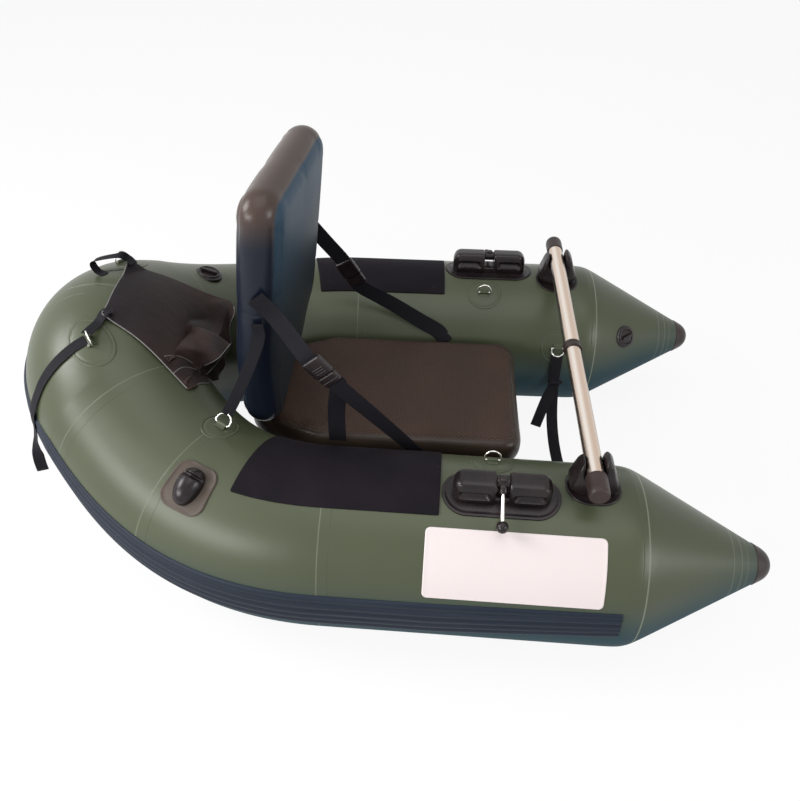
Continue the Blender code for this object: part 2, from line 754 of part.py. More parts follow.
def make_main_valve():
    lift = fitting_lift(MAIN_VALVE_AFT, MAIN_VALVE_RADIUS)
    place = tube_frame(1, MAIN_VALVE_AFT, MAIN_VALVE_ANGLE, lift) @ Matrix.Rotation(math.radians(-40), 4, "Z")
    body = make_valve("port_main_valve", MAIN_VALVE_RADIUS, place)
    reach = MAIN_VALVE_RADIUS * 1.6
    cutter = tube_cutter("main_valve_seat", 1, MAIN_VALVE_AFT - reach, MAIN_VALVE_AFT + reach)
    combine(body, cutter, "DIFFERENCE")


def make_bow_valve():
    """The second chamber's valve, on the inboard side of the port cone."""
    axis = arm_direction(1)
    outboard = Vector((-axis.y, axis.x, 0))
    turn = math.radians(BOW_VALVE_ANGLE)
    radial = math.sin(turn) * outboard + math.cos(turn) * Vector((0, 0, 1))
    slope = (TUBE_RADIUS - TIP_RADIUS) / (TIP_REACH - SEAM_REACH)
    away = (radial + slope * axis).normalized()
    seat = arm_centre(SEAM_REACH + BOW_VALVE_FORWARD) + cone_radius(SEAM_REACH + BOW_VALVE_FORWARD) * radial
    along = axis - axis.dot(away) * away
    place = frame_of(seat + GAP * away, along, away) @ Matrix.Rotation(math.radians(25), 4, "Z")
    body = make_valve("port_bow_valve", BOW_VALVE_RADIUS, place)
    clear = GAP / math.cos(HALF_FACET)
    reach = TIP_REACH - SEAM_REACH
    profile = [(0, reach), (TIP_RADIUS + clear, reach), (TUBE_RADIUS + clear, 0), (0, 0)]
    place = turned_frame(arm_centre(SEAM_REACH), axis, Vector((0, 0, 1)))
    cutter = as_cutter(turned("bow_valve_seat", profile, OLIVE, place, TUBE_SIDES))
    combine(body, cutter, "DIFFERENCE")


def make_pad_valve(name, place):
    """A small push valve in a cushion's skin."""
    radius = PAD_VALVE_RADIUS
    height = PAD_VALVE_HEIGHT
    profile = [
        (0, height - 0.003),
        (radius * 0.45, height - 0.003),
        (radius * 0.45, height),
        (radius * 0.7, height),
        (radius, height * 0.45),
        (radius, 0),
        (0, 0),
    ]
    turned(name, profile, BLACK_PLASTIC, place, VALVE_SIDES)


def ring_frame(name):
    """Where a D-ring's straight bar lies in its keeper, before its tilt."""
    side, aft, angle, _ = RING_PLACES[name]
    lift = fitting_lift(aft, RING_PATCH_RADIUS) + PATCH_THICKNESS + KEEPER_HEIGHT / 2
    return tube_frame(side, aft, angle, lift)


def ring_tilt(name):
    side, _, _, tilt = RING_PLACES[name]
    return Matrix.Rotation(math.radians(-side * tilt), 4, "X")


def make_ring(name):
    """A D-ring of round wire. Its origin is on its straight bar, which it turns about."""
    points = [Vector((-RING_HALF_WIDTH, 0, 0)), Vector((RING_HALF_WIDTH, 0, 0))]
    for index in range(RING_ARC_POINTS):
        turn = math.pi * index / (RING_ARC_POINTS - 1)
        height = RING_SHOULDER + RING_HALF_WIDTH * math.sin(turn)
        points.append(Vector((RING_HALF_WIDTH * math.cos(turn), 0, height)))
    wire(name + "_ring", points, RING_WIRE, STEEL, ring_frame(name) @ ring_tilt(name), True)


def wire(name, points, radius, look, place, cyclic):
    curve = bpy.data.curves.new(name, "CURVE")
    curve.dimensions = "3D"
    curve.bevel_depth = radius
    curve.bevel_resolution = 1
    curve.use_fill_caps = not cyclic
    spline = curve.splines.new("POLY")
    spline.points.add(len(points) - 1)
    for point, place_at in zip(spline.points, points):
        point.co = (*place_at, 1)
    spline.use_cyclic_u = cyclic
    obj = bpy.data.objects.new(name, curve)
    obj.matrix_world = place
    PARTS.objects.link(obj)
    paint(obj, look)


def make_ring_tab(name):
    """A round patch with a keeper that holds the D-ring's bar."""
    side, aft, angle, _ = RING_PLACES[name]
    lift = fitting_lift(aft, RING_PATCH_RADIUS)
    sizes = (RING_PATCH_RADIUS, RING_PATCH_RADIUS, RING_PATCH_RADIUS)
    tab = patch(name + "_ring_tab", side, aft, angle, sizes, PATCH_THICKNESS, DARK_OLIVE, lift)
    place = ring_frame(name)
    sunk = PATCH_THICKNESS * 0.6
    keeper_sizes = (KEEPER_LENGTH, KEEPER_WIDTH, KEEPER_HEIGHT + sunk)
    keeper = box(name + "_keeper", keeper_sizes, DARK_OLIVE, place, (0, 0, -sunk / 2), (1, 0.7))
    combine(tab, keeper, "UNION")
    bore = cylinder(name + "_bore", RING_WIRE + KEEPER_PLAY, KEEPER_LENGTH * 1.5, DARK_OLIVE, place, KEEPER_SIDES)
    combine(tab, bore, "DIFFERENCE")


def make_oarlock(name, side):
    """A moulded base with two slotted blocks, and a notch between them for the pin's hub."""
    body = moulded_base(name, side, OARLOCK_AFT, OARLOCK_ANGLE, OARLOCK_PATCH, BLACK_PLASTIC)
    place = tube_frame(side, OARLOCK_AFT, OARLOCK_ANGLE)
    depth = 0.004
    sizes = (OARLOCK_LENGTH, OARLOCK_WIDTH, OARLOCK_HEIGHT + depth)
    middle = (0, 0, (OARLOCK_HEIGHT - depth) / 2)
    block = box(name + "_block", sizes, BLACK_PLASTIC, place, middle, (0.96, 0.86))
    round_edges(block, OARLOCK_BEVEL)
    for along in (-1, 1):
        for across in (-1, 1):
            at = (along * OARLOCK_SLOT_OFFSET, across * OARLOCK_WIDTH / 2, OARLOCK_SLOT_HEIGHT)
            length, reach, height = OARLOCK_SLOT
            slot = box(f"{name}_slot_{along}_{across}", (length, reach * 2, height), BLACK_PLASTIC, place, at)
            combine(block, slot, "DIFFERENCE")
    tall = OARLOCK_HEIGHT * 2
    at = (0, 0, OARLOCK_FLOOR + tall / 2)
    notch = box(name + "_notch", (OARLOCK_NOTCH, OARLOCK_WIDTH * 1.5, tall), BLACK_PLASTIC, place, at)
    combine(block, notch, "DIFFERENCE")
    hub = place @ Matrix.Translation((0, 0, HUB_HEIGHT))
    length = OARLOCK_NOTCH + 2 * (TRUNNION_REACH + GAP)
    radius = (TRUNNION_RADIUS + GAP) / math.cos(math.pi / ROUND_SIDES)
    bore = cylinder(name + "_bore", radius, length, BLACK_PLASTIC, hub)
    combine(block, bore, "DIFFERENCE")
    combine(body, block, "UNION")
    reach = OARLOCK_PATCH[0] * 1.2
    combine(body, tube_cutter(name + "_seat", side, OARLOCK_AFT - reach, OARLOCK_AFT + reach), "DIFFERENCE")


def make_oarlock_pin(name, side):
    """The hub on its trunnions, with the rowing pin and its ball. Its origin is the hub's axis."""
    place = tube_frame(side, OARLOCK_AFT, OARLOCK_ANGLE) @ Matrix.Translation((0, 0, HUB_HEIGHT))
    pin = cylinder(name, HUB_RADIUS, 2 * HUB_HALF_LENGTH, BLACK_PLASTIC, place)
    trunnion_length = OARLOCK_NOTCH + 2 * TRUNNION_REACH
    combine(pin, cylinder(name + "_trunnion", TRUNNION_RADIUS, trunnion_length, BLACK_PLASTIC, place), "UNION")
    drop = math.radians(PIN_DROP)
    direction = Vector((0, side * math.cos(drop), -math.sin(drop)))
    shank = frame_of(place.translation + direction * PIN_LENGTH / 2, direction, Vector((1, 0, 0)))
    combine(pin, cylinder(name + "_shank", PIN_RADIUS, PIN_LENGTH, STEEL, shank), "UNION")
    sleeve = frame_of(place.translation + direction * PIN_COLLAR_LENGTH / 2, direction, Vector((1, 0, 0)))
    combine(pin, cylinder(name + "_sleeve", PIN_COLLAR_RADIUS, PIN_COLLAR_LENGTH, BLACK_PLASTIC, sleeve), "UNION")
    bm = bmesh.new()
    bmesh.ops.create_uvsphere(bm, u_segments=10, v_segments=6, radius=BALL_RADIUS)
    ball = add(name + "_ball", bm, BLACK_PLASTIC, Matrix.Translation(place.translation + direction * PIN_LENGTH))
    combine(pin, ball, "UNION")


# Bar
def across_frame(across):
    """A frame on the bar's axis, with Z along it toward port."""
    return Matrix.Translation(from_bar(0, across, BAR_HEIGHT)) @ Matrix.Rotation(-math.pi / 2, 4, "X")


def pipe(name, radius, wall, low, high, look):
    profile = [(radius, high - low), (radius, 0), (radius - wall, 0), (radius - wall, high - low)]
    turned(name, profile, look, across_frame(low), BAR_SIDES)


def make_bar():
    end = BAR_HALF_LENGTH - BAR_CAP_END - GAP
    pipe("bar_outer_tube", OUTER_RADIUS, OUTER_WALL, 0, end, ALUMINIUM)
    pipe("bar_inner_tube", INNER_RADIUS, INNER_WALL, -end, INNER_OVERLAP, ALUMINIUM)
    bore = (INNER_RADIUS + GAP) / math.cos(math.pi / BAR_SIDES)
    length = COLLAR_LENGTH
    profile = [
        (COLLAR_RADIUS - COLLAR_RIB, length),
        (COLLAR_RADIUS, length - COLLAR_RIB),
        (COLLAR_RADIUS, COLLAR_RIB),
        (COLLAR_RADIUS - COLLAR_RIB, 0),
        (bore, 0),
        (bore, length),
    ]
    turned("bar_collar", profile, BLACK_PLASTIC, across_frame(-length - GAP), BAR_SIDES)
    for name, side, radius in (("port", 1, OUTER_RADIUS), ("starboard", -1, INNER_RADIUS)):
        bore = (radius + GAP) / math.cos(math.pi / BAR_SIDES)
        floor = BAR_CAP_LENGTH - BAR_CAP_END
        profile = [
            (0, BAR_CAP_LENGTH),
            (BAR_CAP_RADIUS - 0.002, BAR_CAP_LENGTH),
            (BAR_CAP_RADIUS, BAR_CAP_LENGTH - 0.002),
            (BAR_CAP_RADIUS, 0),
            (bore, 0),
            (bore, floor),
            (0, floor),
        ]
        place = across_frame(side * (BAR_HALF_LENGTH - BAR_CAP_LENGTH))
        if side < 0:
            place = place @ Matrix.Rotation(math.pi, 4, "X")
        turned(name + "_bar_cap", profile, BLACK_RUBBER, place, BAR_SIDES)


def make_cradle(name, side, bar_radius):
    """A moulded saddle with an ear ahead of the bar and one behind it."""
    aft = -CRADLE_FORWARD
    body = moulded_base(name, side, aft, CRADLE_ANGLE, CRADLE_PATCH, BLACK_RUBBER)
    seat = on_tube(side, aft, CRADLE_ANGLE)
    foot = seat.z - CRADLE_DEPTH
    place = Matrix.Translation((seat.x, seat.y, foot))
    height = BAR_HEIGHT + CRADLE_RISE - foot
    crest = (CRADLE_CREST[0] / CRADLE_FOOT[0], CRADLE_CREST[1] / CRADLE_FOOT[1])
    block = box(name + "_block", (*CRADLE_FOOT, height), BLACK_RUBBER, place, (0, 0, height / 2), crest)
    round_edges(block, CRADLE_BEVEL)
    clear = (bar_radius + GAP) / math.cos(math.pi / BAR_SIDES)
    axis = Matrix.Translation(from_bar(0, seat.y, BAR_HEIGHT)) @ Matrix.Rotation(math.pi / 2, 4, "Z")
    length = CRADLE_FOOT[1] * 2
    groove = cylinder(name + "_groove", clear, length, BLACK_RUBBER, axis, BAR_SIDES)
    combine(block, groove, "DIFFERENCE")
    tall = BAR_HALF_LENGTH / 4
    mouth = box(name + "_mouth", (length, 2 * clear, tall), BLACK_RUBBER, axis, (0, 0, tall / 2))
    combine(block, mouth, "DIFFERENCE")
    combine(body, block, "UNION")
    combine(body, tube_cutter(name + "_seat", side, RING_AFT[0], CRADLE_FOOT[0] * 1.5), "DIFFERENCE")


# Seat
def make_sling():
    """A sheet between the arms that carries the seat, with a flap glued down each arm."""
    flaps = [(side, angle) for side in (1, -1) for angle in (*SLING_FLAP_ANGLES, SLING_EDGE_ANGLE)]
    spans = [(0, side * across) for side in (1, -1) for across in SLING_SPANS]
    spans = spans[:3] + spans[3:5][::-1]
    stops = flaps[:4] + spans + flaps[4:][::-1]
    lift = GAP + SLING_THICKNESS / 4

    def place_point(aft, stop, layer):
        side, value = stop
        if side:
            return on_tube(side, aft, value, lift + layer * SLING_THICKNESS)
        edge = on_tube(1, aft, SLING_EDGE_ANGLE)
        return Vector((edge.x, value, SLING_HEIGHT - layer * SLING_THICKNESS))

    slab("seat_sling", with_rings(SLING_FRONT, SLING_REAR, STATION_STEP), stops, place_point, BLACK_RUBBER)


def crown_share(reach):
    """How much of a pad's crown stands at this share of its half length."""
    return (1 - reach**2) ** 2


def pillow(name, half_length, half_width, thickness, corner, crown, place, taper=None):
    """An inflated pad with full-round edges, in the frame of place: X its length, Z its thickness."""
    edge = thickness / 2
    rim = [1 - share for share in (0, 0.04, 0.16, 0.36, 0.65)]

    def stops(half):
        outer = [half - corner + corner * value for value in rim]
        inner = half - corner
        middle = spread(-inner, inner, half / 3)[1:-1]
        return [-value for value in outer] + [-inner] + middle + [inner] + outer[::-1]

    def place_point(u, v, layer):
        across = max(abs(u) - (half_length - corner), 0)
        along = max(abs(v) - (half_width - corner), 0)
        x, y = rounded(u, v, half_length, half_width, corner)
        if across and along:
            across = abs(x) - (half_length - corner)
            along = abs(y) - (half_width - corner)
        inside = min(1, (corner - math.hypot(across, along)) / edge)
        bulge = edge * math.sqrt(max(0, 1 - (1 - inside) ** 2))
        rise = crown * crown_share(x / half_length) * (1 - (y / half_width) ** 2)
        if layer == 0:
            rise = 0
        height = (bulge + rise) * (1 if layer else -1)
        if taper:
            y *= taper(x)
        return place @ Vector((x, y, height))

    return slab(name, stops(half_length), stops(half_width), place_point, BROWN_FABRIC, place.translation)


def seat_share(x):
    """How much of its full width the seat has, this far ahead of its middle."""
    middle = (SEAT_FRONT + SEAT_REAR) / 2
    taper_from = middle - SEAT_TAPER_FROM
    if x > taper_from:
        return 1
    share = (taper_from - x) / (SEAT_REAR - SEAT_TAPER_FROM)
    return 1 + share * (SEAT_REAR_HALF_WIDTH / SEAT_HALF_WIDTH - 1)


def make_seat():
    half_length = (SEAT_REAR - SEAT_FRONT) / 2
    middle = from_bar(-(SEAT_FRONT + SEAT_REAR) / 2, 0, SEAT_TOP - SEAT_THICKNESS / 2)
    place = Matrix.Translation(middle)
    pillow("seat_cushion", half_length, SEAT_HALF_WIDTH, SEAT_THICKNESS, SEAT_CORNER, SEAT_CROWN, place, seat_share)
    rear = from_bar(-SEAT_REAR - GAP, 0, middle.z)
    make_pad_valve("seat_valve", frame_of(rear, Vector((0, 1, 0)), Vector((-1, 0, 0))))


def back_frame():
    """The backrest's hinge, in the middle of its rounded foot: X up its height, Z to its front."""
    reach = (SEAT_FRONT + SEAT_REAR) / 2 - BACK_REACH
    half_length = (SEAT_REAR - SEAT_FRONT) / 2
    crown = SEAT_CROWN * crown_share(reach / half_length)
    hinge = from_bar(-BACK_REACH, 0, SEAT_TOP + crown + GAP + BACK_THICKNESS / 2)
    lean = math.radians(BACK_LEAN)
    up = Vector((math.sin(lean), 0, math.cos(lean)))
    return frame_of(hinge, up, Vector((math.cos(lean), 0, -math.sin(lean))))


def make_backrest():
    place = back_frame()
    middle = place @ Matrix.Translation((BACK_HEIGHT / 2 - BACK_THICKNESS / 2, 0, 0))
    back = pillow("backrest", BACK_HEIGHT / 2, BACK_HALF_WIDTH, BACK_THICKNESS, BACK_CORNER, BACK_CROWN, middle)
    offset = back.matrix_world.inverted() @ place.translation
    back.data.transform(Matrix.Translation(-offset))
    back.matrix_world = Matrix.Translation(place.translation)
    valve = place @ Vector((BACK_VALVE_HEIGHT, BACK_VALVE_OFFSET, -BACK_THICKNESS / 2 - GAP))
    rearward = place.to_3x3() @ Vector((0, 0, -1))
    make_pad_valve("backrest_valve", frame_of(valve, Vector((0, 1, 0)), rearward))


# Straps
def strap(name, points, acrosses, width, away):
    """A webbing strap through these points, each with the direction of its width. It thickens away."""
    aways = away if isinstance(away, list) else [away] * len(points)

    def place_point(index, share, layer):
        before = points[max(index - 1, 0)]
        after = points[min(index + 1, len(points) - 1)]
        along = (after - before).normalized()
        across = (acrosses[index] - acrosses[index].dot(along) * along).normalized()
        normal = along.cross(across)
        if normal.dot(aways[index]) < 0:
            normal = -normal
        return points[index] + share * width * across + layer * WEBBING * normal

    return slab(name, range(len(points)), (-0.5, 0.5), place_point, WEBBING_BLACK)


def buckle_frame(name):
    """A side buckle's frame where the plug meets the socket: X toward the backrest, Z outboard."""
    side = SIDES[name]
    forward, across, height = BUCKLE_CENTRES[name]
    centre = from_bar(forward, side * across, height)
    anchor = side_anchor(name)
    along = anchor - centre
    along.y = 0
    return frame_of(centre, along, Vector((0, side, 0)))


def side_anchor(name):
    """Where a side strap leaves the front edge of the backrest's side."""
    side = SIDES[name]
    reach = BACK_HALF_WIDTH + GAP
    front = SIDE_ANCHOR_RUN - SIDE_ANCHOR_BACK
    flip = 1 if (back_frame().to_3x3() @ Vector((0, 1, 0))).y > 0 else -1
    return back_frame() @ Vector((SIDE_ANCHOR_HEIGHT, flip * side * reach, front))


def make_side_strap(name):
    side = SIDES[name]
    frame = buckle_frame(name)
    toward_back = frame.to_3x3() @ Vector((1, 0, 0))
    width_way = Vector((0, side, 0)).cross(toward_back)
    outboard = Vector((0, side, 0))
    anchor = side_anchor(name)
    start = anchor + toward_back * SIDE_ANCHOR_RUN
    top = frame @ Vector((SOCKET_LENGTH + GAP, 0, 0))
    points = [start, anchor, anchor.lerp(top, 0.5), top + toward_back * STRAP_LEAD, top]
    strap(name + "_upper_strap", points, [width_way] * len(points), SIDE_STRAP_WIDTH, outboard)
    make_socket(name, frame)
    make_plug(name, frame)
    foot_aft = STRAP_FEET[name]
    low, high = (
        on_tube(side, foot_aft - index * STRAP_FOOT_RUN, angle, GAP)
        for index, angle in enumerate(STRAP_FOOT_ANGLES)
    )
    down = high - low
    away = (on_tube(side, foot_aft, STRAP_FOOT_ANGLES[0], 1) - low).normalized()
    foot_across = down.cross(away).normalized()
    bottom = frame @ Vector((-PLUG_LENGTH - 2 * GAP, 0, 0))
    across = width_way
    if across.dot(foot_across) < 0:
        across = -across
    lead = bottom - toward_back * STRAP_LEAD
    points = [lead, bottom.lerp(low, 0.4), bottom.lerp(low, 0.75), low, high]
    acrosses = [across, across.lerp(foot_across, 0.3), across.lerp(foot_across, 0.7), foot_across, foot_across]
    inboard = -outboard
    aways = [inboard, inboard.lerp(away, 0.3), inboard.lerp(away, 0.7), away, away]
    if name == "starboard":
        doubled = inboard * (2 * WEBBING + TAIL_PLAY)
        end = from_bar(*TAIL_END)
        shoulder = bottom - toward_back * (WEBBING + TAIL_PLAY)
        fold = bottom + doubled / 2
        hang = [end, end.lerp(lead + doubled, 0.5), lead + doubled, shoulder + doubled, fold, shoulder]
        aways = [outboard] * 4 + [-toward_back, inboard] + aways
    else:
        hang = [bottom]
        aways = [inboard] + aways
    acrosses = [across] * len(hang) + acrosses
    strap(name + "_lower_strap", hang + points, acrosses, SIDE_STRAP_WIDTH, aways)


def make_socket(name, frame):
    length = SOCKET_LENGTH
    socket = box(
        name + "_buckle_socket", (length, BUCKLE_WIDTH, SOCKET_THICKNESS), BLACK_PLASTIC, frame, (length / 2, 0, 0)
    )
    round_edges(socket, BUCKLE_BEVEL, 1)
    depth = POCKET_DEPTH * 2
    sizes = (depth, BUCKLE_WIDTH - 2 * SOCKET_WALL, SOCKET_THICKNESS - 2 * SOCKET_WALL)
    combine(socket, box(name + "_pocket", sizes, BLACK_PLASTIC, frame), "DIFFERENCE")


def make_plug(name, frame):
    """The plug, which draws straight out of the socket."""
    middle = (-PLUG_LENGTH / 2 - GAP, 0, 0)
    sizes = (PLUG_LENGTH, BUCKLE_WIDTH - 0.002, PLUG_THICKNESS)
    plug = box(name + "_buckle_plug", sizes, BLACK_PLASTIC, frame, middle)
    round_edges(plug, BUCKLE_BEVEL, 1)
    length = TONGUE_LENGTH + TONGUE_ROOT
    at = (length / 2 - TONGUE_ROOT, 0, 0)
    tongue = box(name + "_tongue", (length, TONGUE_WIDTH, TONGUE_THICKNESS), BLACK_PLASTIC, frame, at)
    combine(plug, tongue, "UNION")


def ring_apex(name, beyond):
    """A point on a D-ring's axis of symmetry, this far past its wire."""
    reach = RING_SHOULDER + RING_HALF_WIDTH + RING_WIRE + beyond
    return ring_frame(name) @ ring_tilt(name) @ Vector((0, 0, reach))


def make_rear_strap():
    """From the side ring up to the backrest's starboard side, near its rear face."""
    flip = 1 if (back_frame().to_3x3() @ Vector((0, 1, 0))).y > 0 else -1
    reach = -flip * (BACK_HALF_WIDTH + GAP)
    top = back_frame() @ Vector((REAR_STRAP_HEIGHT, reach, -REAR_STRAP_BACK))
    bend = back_frame() @ Vector((REAR_STRAP_HEIGHT - REAR_STRAP_BEND, reach * 1.008, -REAR_STRAP_BACK))
    foot = ring_apex("starboard_side", GAP)
    points = [foot, foot.lerp(bend, 0.5), bend, top]
    strap("starboard_rear_strap", points, [Vector((1, 0, 0))] * 4, REAR_STRAP_WIDTH, Vector((0, -1, 0)))


def make_front_strap():
    """A slack strap between the two inner rings, under the bar."""
    port = ring_apex("port_inner", GAP)
    starboard = ring_apex("starboard_inner", GAP)
    hang = FRONT_STRAP_PORT + FRONT_STRAP_STARBOARD
    middle = [Vector((port.x, share * port.y, port.z - drop)) for share, drop in hang]
    points = [port] + middle + [starboard]
    strap("front_strap", points, [Vector((1, 0, 0))] * len(points), FRONT_STRAP_WIDTH, Vector((0, 0, 1)))


def make_stern_strap():
    """From the starboard stern ring over the side of the tube and the strake, hanging to its free end."""
    clear = STRAKE_LIFT + STRAKE_BASE + STRAKE_RIB + GAP + BEND_LIFT
    front, end = STERN_STRAP_AFT
    plain = fitting_lift(front, STERN_STRAP_WIDTH) + PATCH_THICKNESS + 2 * GAP
    low, high = STERN_STRAP_ANGLES
    points = []
    acrosses = []
    aways = []
    for angle in spread(low, high, STERN_STRAP_STEP):
        aft = front + (end - front) * (angle - low) / (high - low)
        lift = clear if angle > STRAKE_ANGLES[0] - 2 * STERN_STRAP_STEP else plain
        points.append(on_tube(-1, aft, angle, lift))
        aways.append(on_tube(-1, aft, angle, 1) - on_tube(-1, aft, angle))
        acrosses.append(on_tube(-1, aft + 0.01, angle) - on_tube(-1, aft - 0.01, angle))
    ahead = points[-1]
    for step in range(1, STERN_STRAP_STEPS + 1):
        height = ahead.z + (STERN_STRAP_END - ahead.z) * step / STERN_STRAP_STEPS
        points.append(Vector((ahead.x, ahead.y, height)))
        acrosses.append(acrosses[-1])
        aways.append(aways[-1])
    strap("stern_strap", points, acrosses, STERN_STRAP_WIDTH, aways)


# Cargo cover
HULL_SAMPLES = [station(side, aft)[0] for side in (-1, 1) for aft in spread(BEND_REACH, RING_AFT[-1], 0.008)]


def hull_top(x, y, lift):
    """The height of a skin this far off the hull's upper surface, or nothing beside it."""
    best = 0
    for centre in HULL_SAMPLES:
        reach = (TUBE_RADIUS + lift) ** 2 - (centre.x - x) ** 2 - (centre.y - y) ** 2
        if reach > 0:
            best = max(best, centre.z + math.sqrt(reach))
    return best


def make_cover():
    """A fabric sheet over the well behind the seat. It lies on the tubes, sags between them, and ends in a flap."""

    def place_point(row, column, layer):
        across = column / COVER_COLUMNS
        along = min(1, row / COVER_ROWS)
        drop = max(0, row - COVER_ROWS) / FLAP_ROWS
        rear = Vector(COVER_REAR[0]).lerp(Vector(COVER_REAR[1]), across)
        front = Vector(COVER_FRONT[0]).lerp(Vector(COVER_FRONT[1]), across)
        plan = from_bar(*rear.lerp(front, along), 0)
        hang = ARM_TOP + COVER_REAR_RISE + (COVER_FRONT_RISE - COVER_REAR_RISE) * along
        hang -= COVER_SAG * along * math.sin(math.pi * across)
        hang += COVER_FOLD * math.sin(2 * math.pi * COVER_FOLDS * across) * math.sin(math.pi * along / 1.6)
        plan.x += FLAP_REACH * drop
        plan.y *= 1 - FLAP_GATHER * drop
        flap = FLAP_DROP * drop * math.sin(math.pi * across)
        lift = COVER_LIFT + COVER_REAR_LIFT * max(0, 1 - along * COVER_ROWS / 3)
        plan.z = max(hang - flap, hull_top(plan.x, plan.y, lift))
        return plan + Vector((drop, 0, 1)) * COVER_THICKNESS * layer

    rows = range(COVER_ROWS + FLAP_ROWS + 1)
    slab("cargo_cover", rows, range(COVER_COLUMNS + 1), place_point, BROWN_FABRIC)


def build():
    for name, side in SIDES.items():
        make_tube(name + "_tube", side)
        make_cone(name + "_cone", side)
        make_nose_cap(name + "_nose_cap", side)
        make_wear_pad(name + "_wear_pad", side, PADS[name])
        make_side_panel(name + "_side_panel", side)
        make_handle(name + "_handle", side)
        make_oarlock(name + "_oarlock", side)
        make_oarlock_pin(name + "_oarlock_pin", side)
        make_side_strap(name)
    make_cradle("port_bar_cradle", 1, OUTER_RADIUS)
    make_cradle("starboard_bar_cradle", -1, INNER_RADIUS)
    make_baffle()
    make_strake()
    make_main_valve()
    make_bow_valve()
    for name in RING_PLACES:
        make_ring_tab(name)
        make_ring(name)
    make_bar()
    make_sling()
    make_seat()
    make_backrest()
    make_rear_strap()
    make_front_strap()
    make_stern_strap()
    make_cover()


build()
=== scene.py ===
"""Looks of the inflatable float boat, built round its solids.

Metres, +Z up, in the frame of the solids: the bow tips point to +X and port is +Y. Places on the hull are
distances aft of the bar along a tube, and degrees from its top, positive to the outboard side."""

import functools
import math

import bpy
import numpy as np
from bpy.props import FloatProperty, FloatVectorProperty, IntProperty, PointerProperty
from mathutils import Matrix


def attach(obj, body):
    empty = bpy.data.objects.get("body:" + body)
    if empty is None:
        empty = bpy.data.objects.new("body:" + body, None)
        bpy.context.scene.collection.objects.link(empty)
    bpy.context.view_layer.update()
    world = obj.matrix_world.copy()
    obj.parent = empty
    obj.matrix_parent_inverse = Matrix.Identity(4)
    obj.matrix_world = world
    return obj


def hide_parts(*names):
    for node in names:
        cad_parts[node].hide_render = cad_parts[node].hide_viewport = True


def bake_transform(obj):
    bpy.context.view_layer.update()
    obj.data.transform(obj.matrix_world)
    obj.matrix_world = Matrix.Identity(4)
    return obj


bl_info = {
    "name": "Inflatable float boat",
    "version": (1, 0, 0),
    "blender": (4, 5, 0),
    "location": "3D View > Sidebar > Boat",
    "description": "Dresses an inflatable float boat: air tubes, fittings, seat, straps and cargo cover",
    "category": "Add Mesh",
}

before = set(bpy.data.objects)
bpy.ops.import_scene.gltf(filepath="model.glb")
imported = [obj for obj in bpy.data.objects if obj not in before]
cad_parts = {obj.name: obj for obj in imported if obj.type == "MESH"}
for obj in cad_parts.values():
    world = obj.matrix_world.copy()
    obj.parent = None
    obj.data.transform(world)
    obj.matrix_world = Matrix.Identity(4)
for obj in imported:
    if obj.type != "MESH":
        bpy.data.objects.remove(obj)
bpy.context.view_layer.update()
SIDES = {"starboard": -1, "port": 1}

# Hull
TUBE_RADIUS = 0.19
ARM_OFFSET = 0.397
TOE_OUT = 0.022
TIP_REACH = 0.4136
CAP_REACH = 0.375
SEAM_REACH = 0.101
TIP_RADIUS = 0.022
BEND_REACH = 0.53
STERN_REACH = 1.0706
STERN_RADIUS = 0.212
STERN_ARC = 44.8
STERN_RISE = 0.17
RISE_POWER = 3.5
STEEPENING = 0.6
ARM_LEAD = 0.2528
ARC_LEAD = 0.1104
BEND_RINGS = 11
ARC_RINGS = 4
SHOULDER = 0.005
AXIS_HEIGHT = TUBE_RADIUS * math.cos(math.radians(7.5))
ARM_TOP = 2 * AXIS_HEIGHT
BAR_X = (TIP_REACH + STERN_REACH + TUBE_RADIUS + 0.0043) / 2 - TIP_REACH
ARM_SCALE = math.hypot(1, TOE_OUT)

# Fittings
GAP = 0.0003
BAR_HEIGHT = ARM_TOP + 0.06325
BAR_RADIUS = 0.019
BAR_INNER_RADIUS = 0.0175
BAR_WALL = 0.0012
BAR_END = 0.4637
OARLOCK_AFT = 0.175
OARLOCK_ANGLE = 6.5
HUB_HEIGHT = 0.040
PIN_DROP = 27
PIN_LENGTH = 0.088
HANDLE_AFT = 0.781
HANDLE_ANGLE = 30
CRADLE_AFT = -0.0095
CRADLE_ANGLE = -5
BOW_VALVE_ANGLE = -57
RING_PATCH_RADIUS = 0.046
FLAT_LIFT = GAP + 0.025**2 / (8 * TUBE_RADIUS)
KEEPER_LIFT = FLAT_LIFT + 0.0014 + 0.0085 / 2
SOCKET_TOP = 0.0484
PLUG_FOOT = -0.0266

# Seat
SLING_HEIGHT = AXIS_HEIGHT + TUBE_RADIUS * math.cos(math.radians(82.2))
SEAT_THICKNESS = 0.085
SEAT_TOP = SLING_HEIGHT + GAP + SEAT_THICKNESS
SEAT_FRONT = 0.11
SEAT_REAR = 0.75
SEAT_MIDDLE = (SEAT_FRONT + SEAT_REAR) / 2
SEAT_TAPER = 0.575
SEAT_HALF_WIDTH = 0.20
BACK_REACH = 0.695
BACK_THICKNESS = 0.09
BACK_HALF_WIDTH = 0.20
BACK_HEIGHT = 0.58
BACK_LEAN = 6.5
BACK_TWIST = 6.35

# Floor, and the camera as the picture was taken
FLOOR_HEIGHT = -0.0017
FLOOR_REACH = 20
FLOOR_GLOW = 0.90
CAMERA_SHIFT = (-0.015117, -0.0059975)
CAMERA_AT = (0.08389, -1.46724, 1.54464)
CAMERA_RIGHT = (0.99874126, 0.04121472, 0.0285873)
CAMERA_UP = (-0.04864447, 0.65690035, 0.75240657)
CAMERA_AHEAD = (-0.01223122, 0.7528501, -0.65807835)


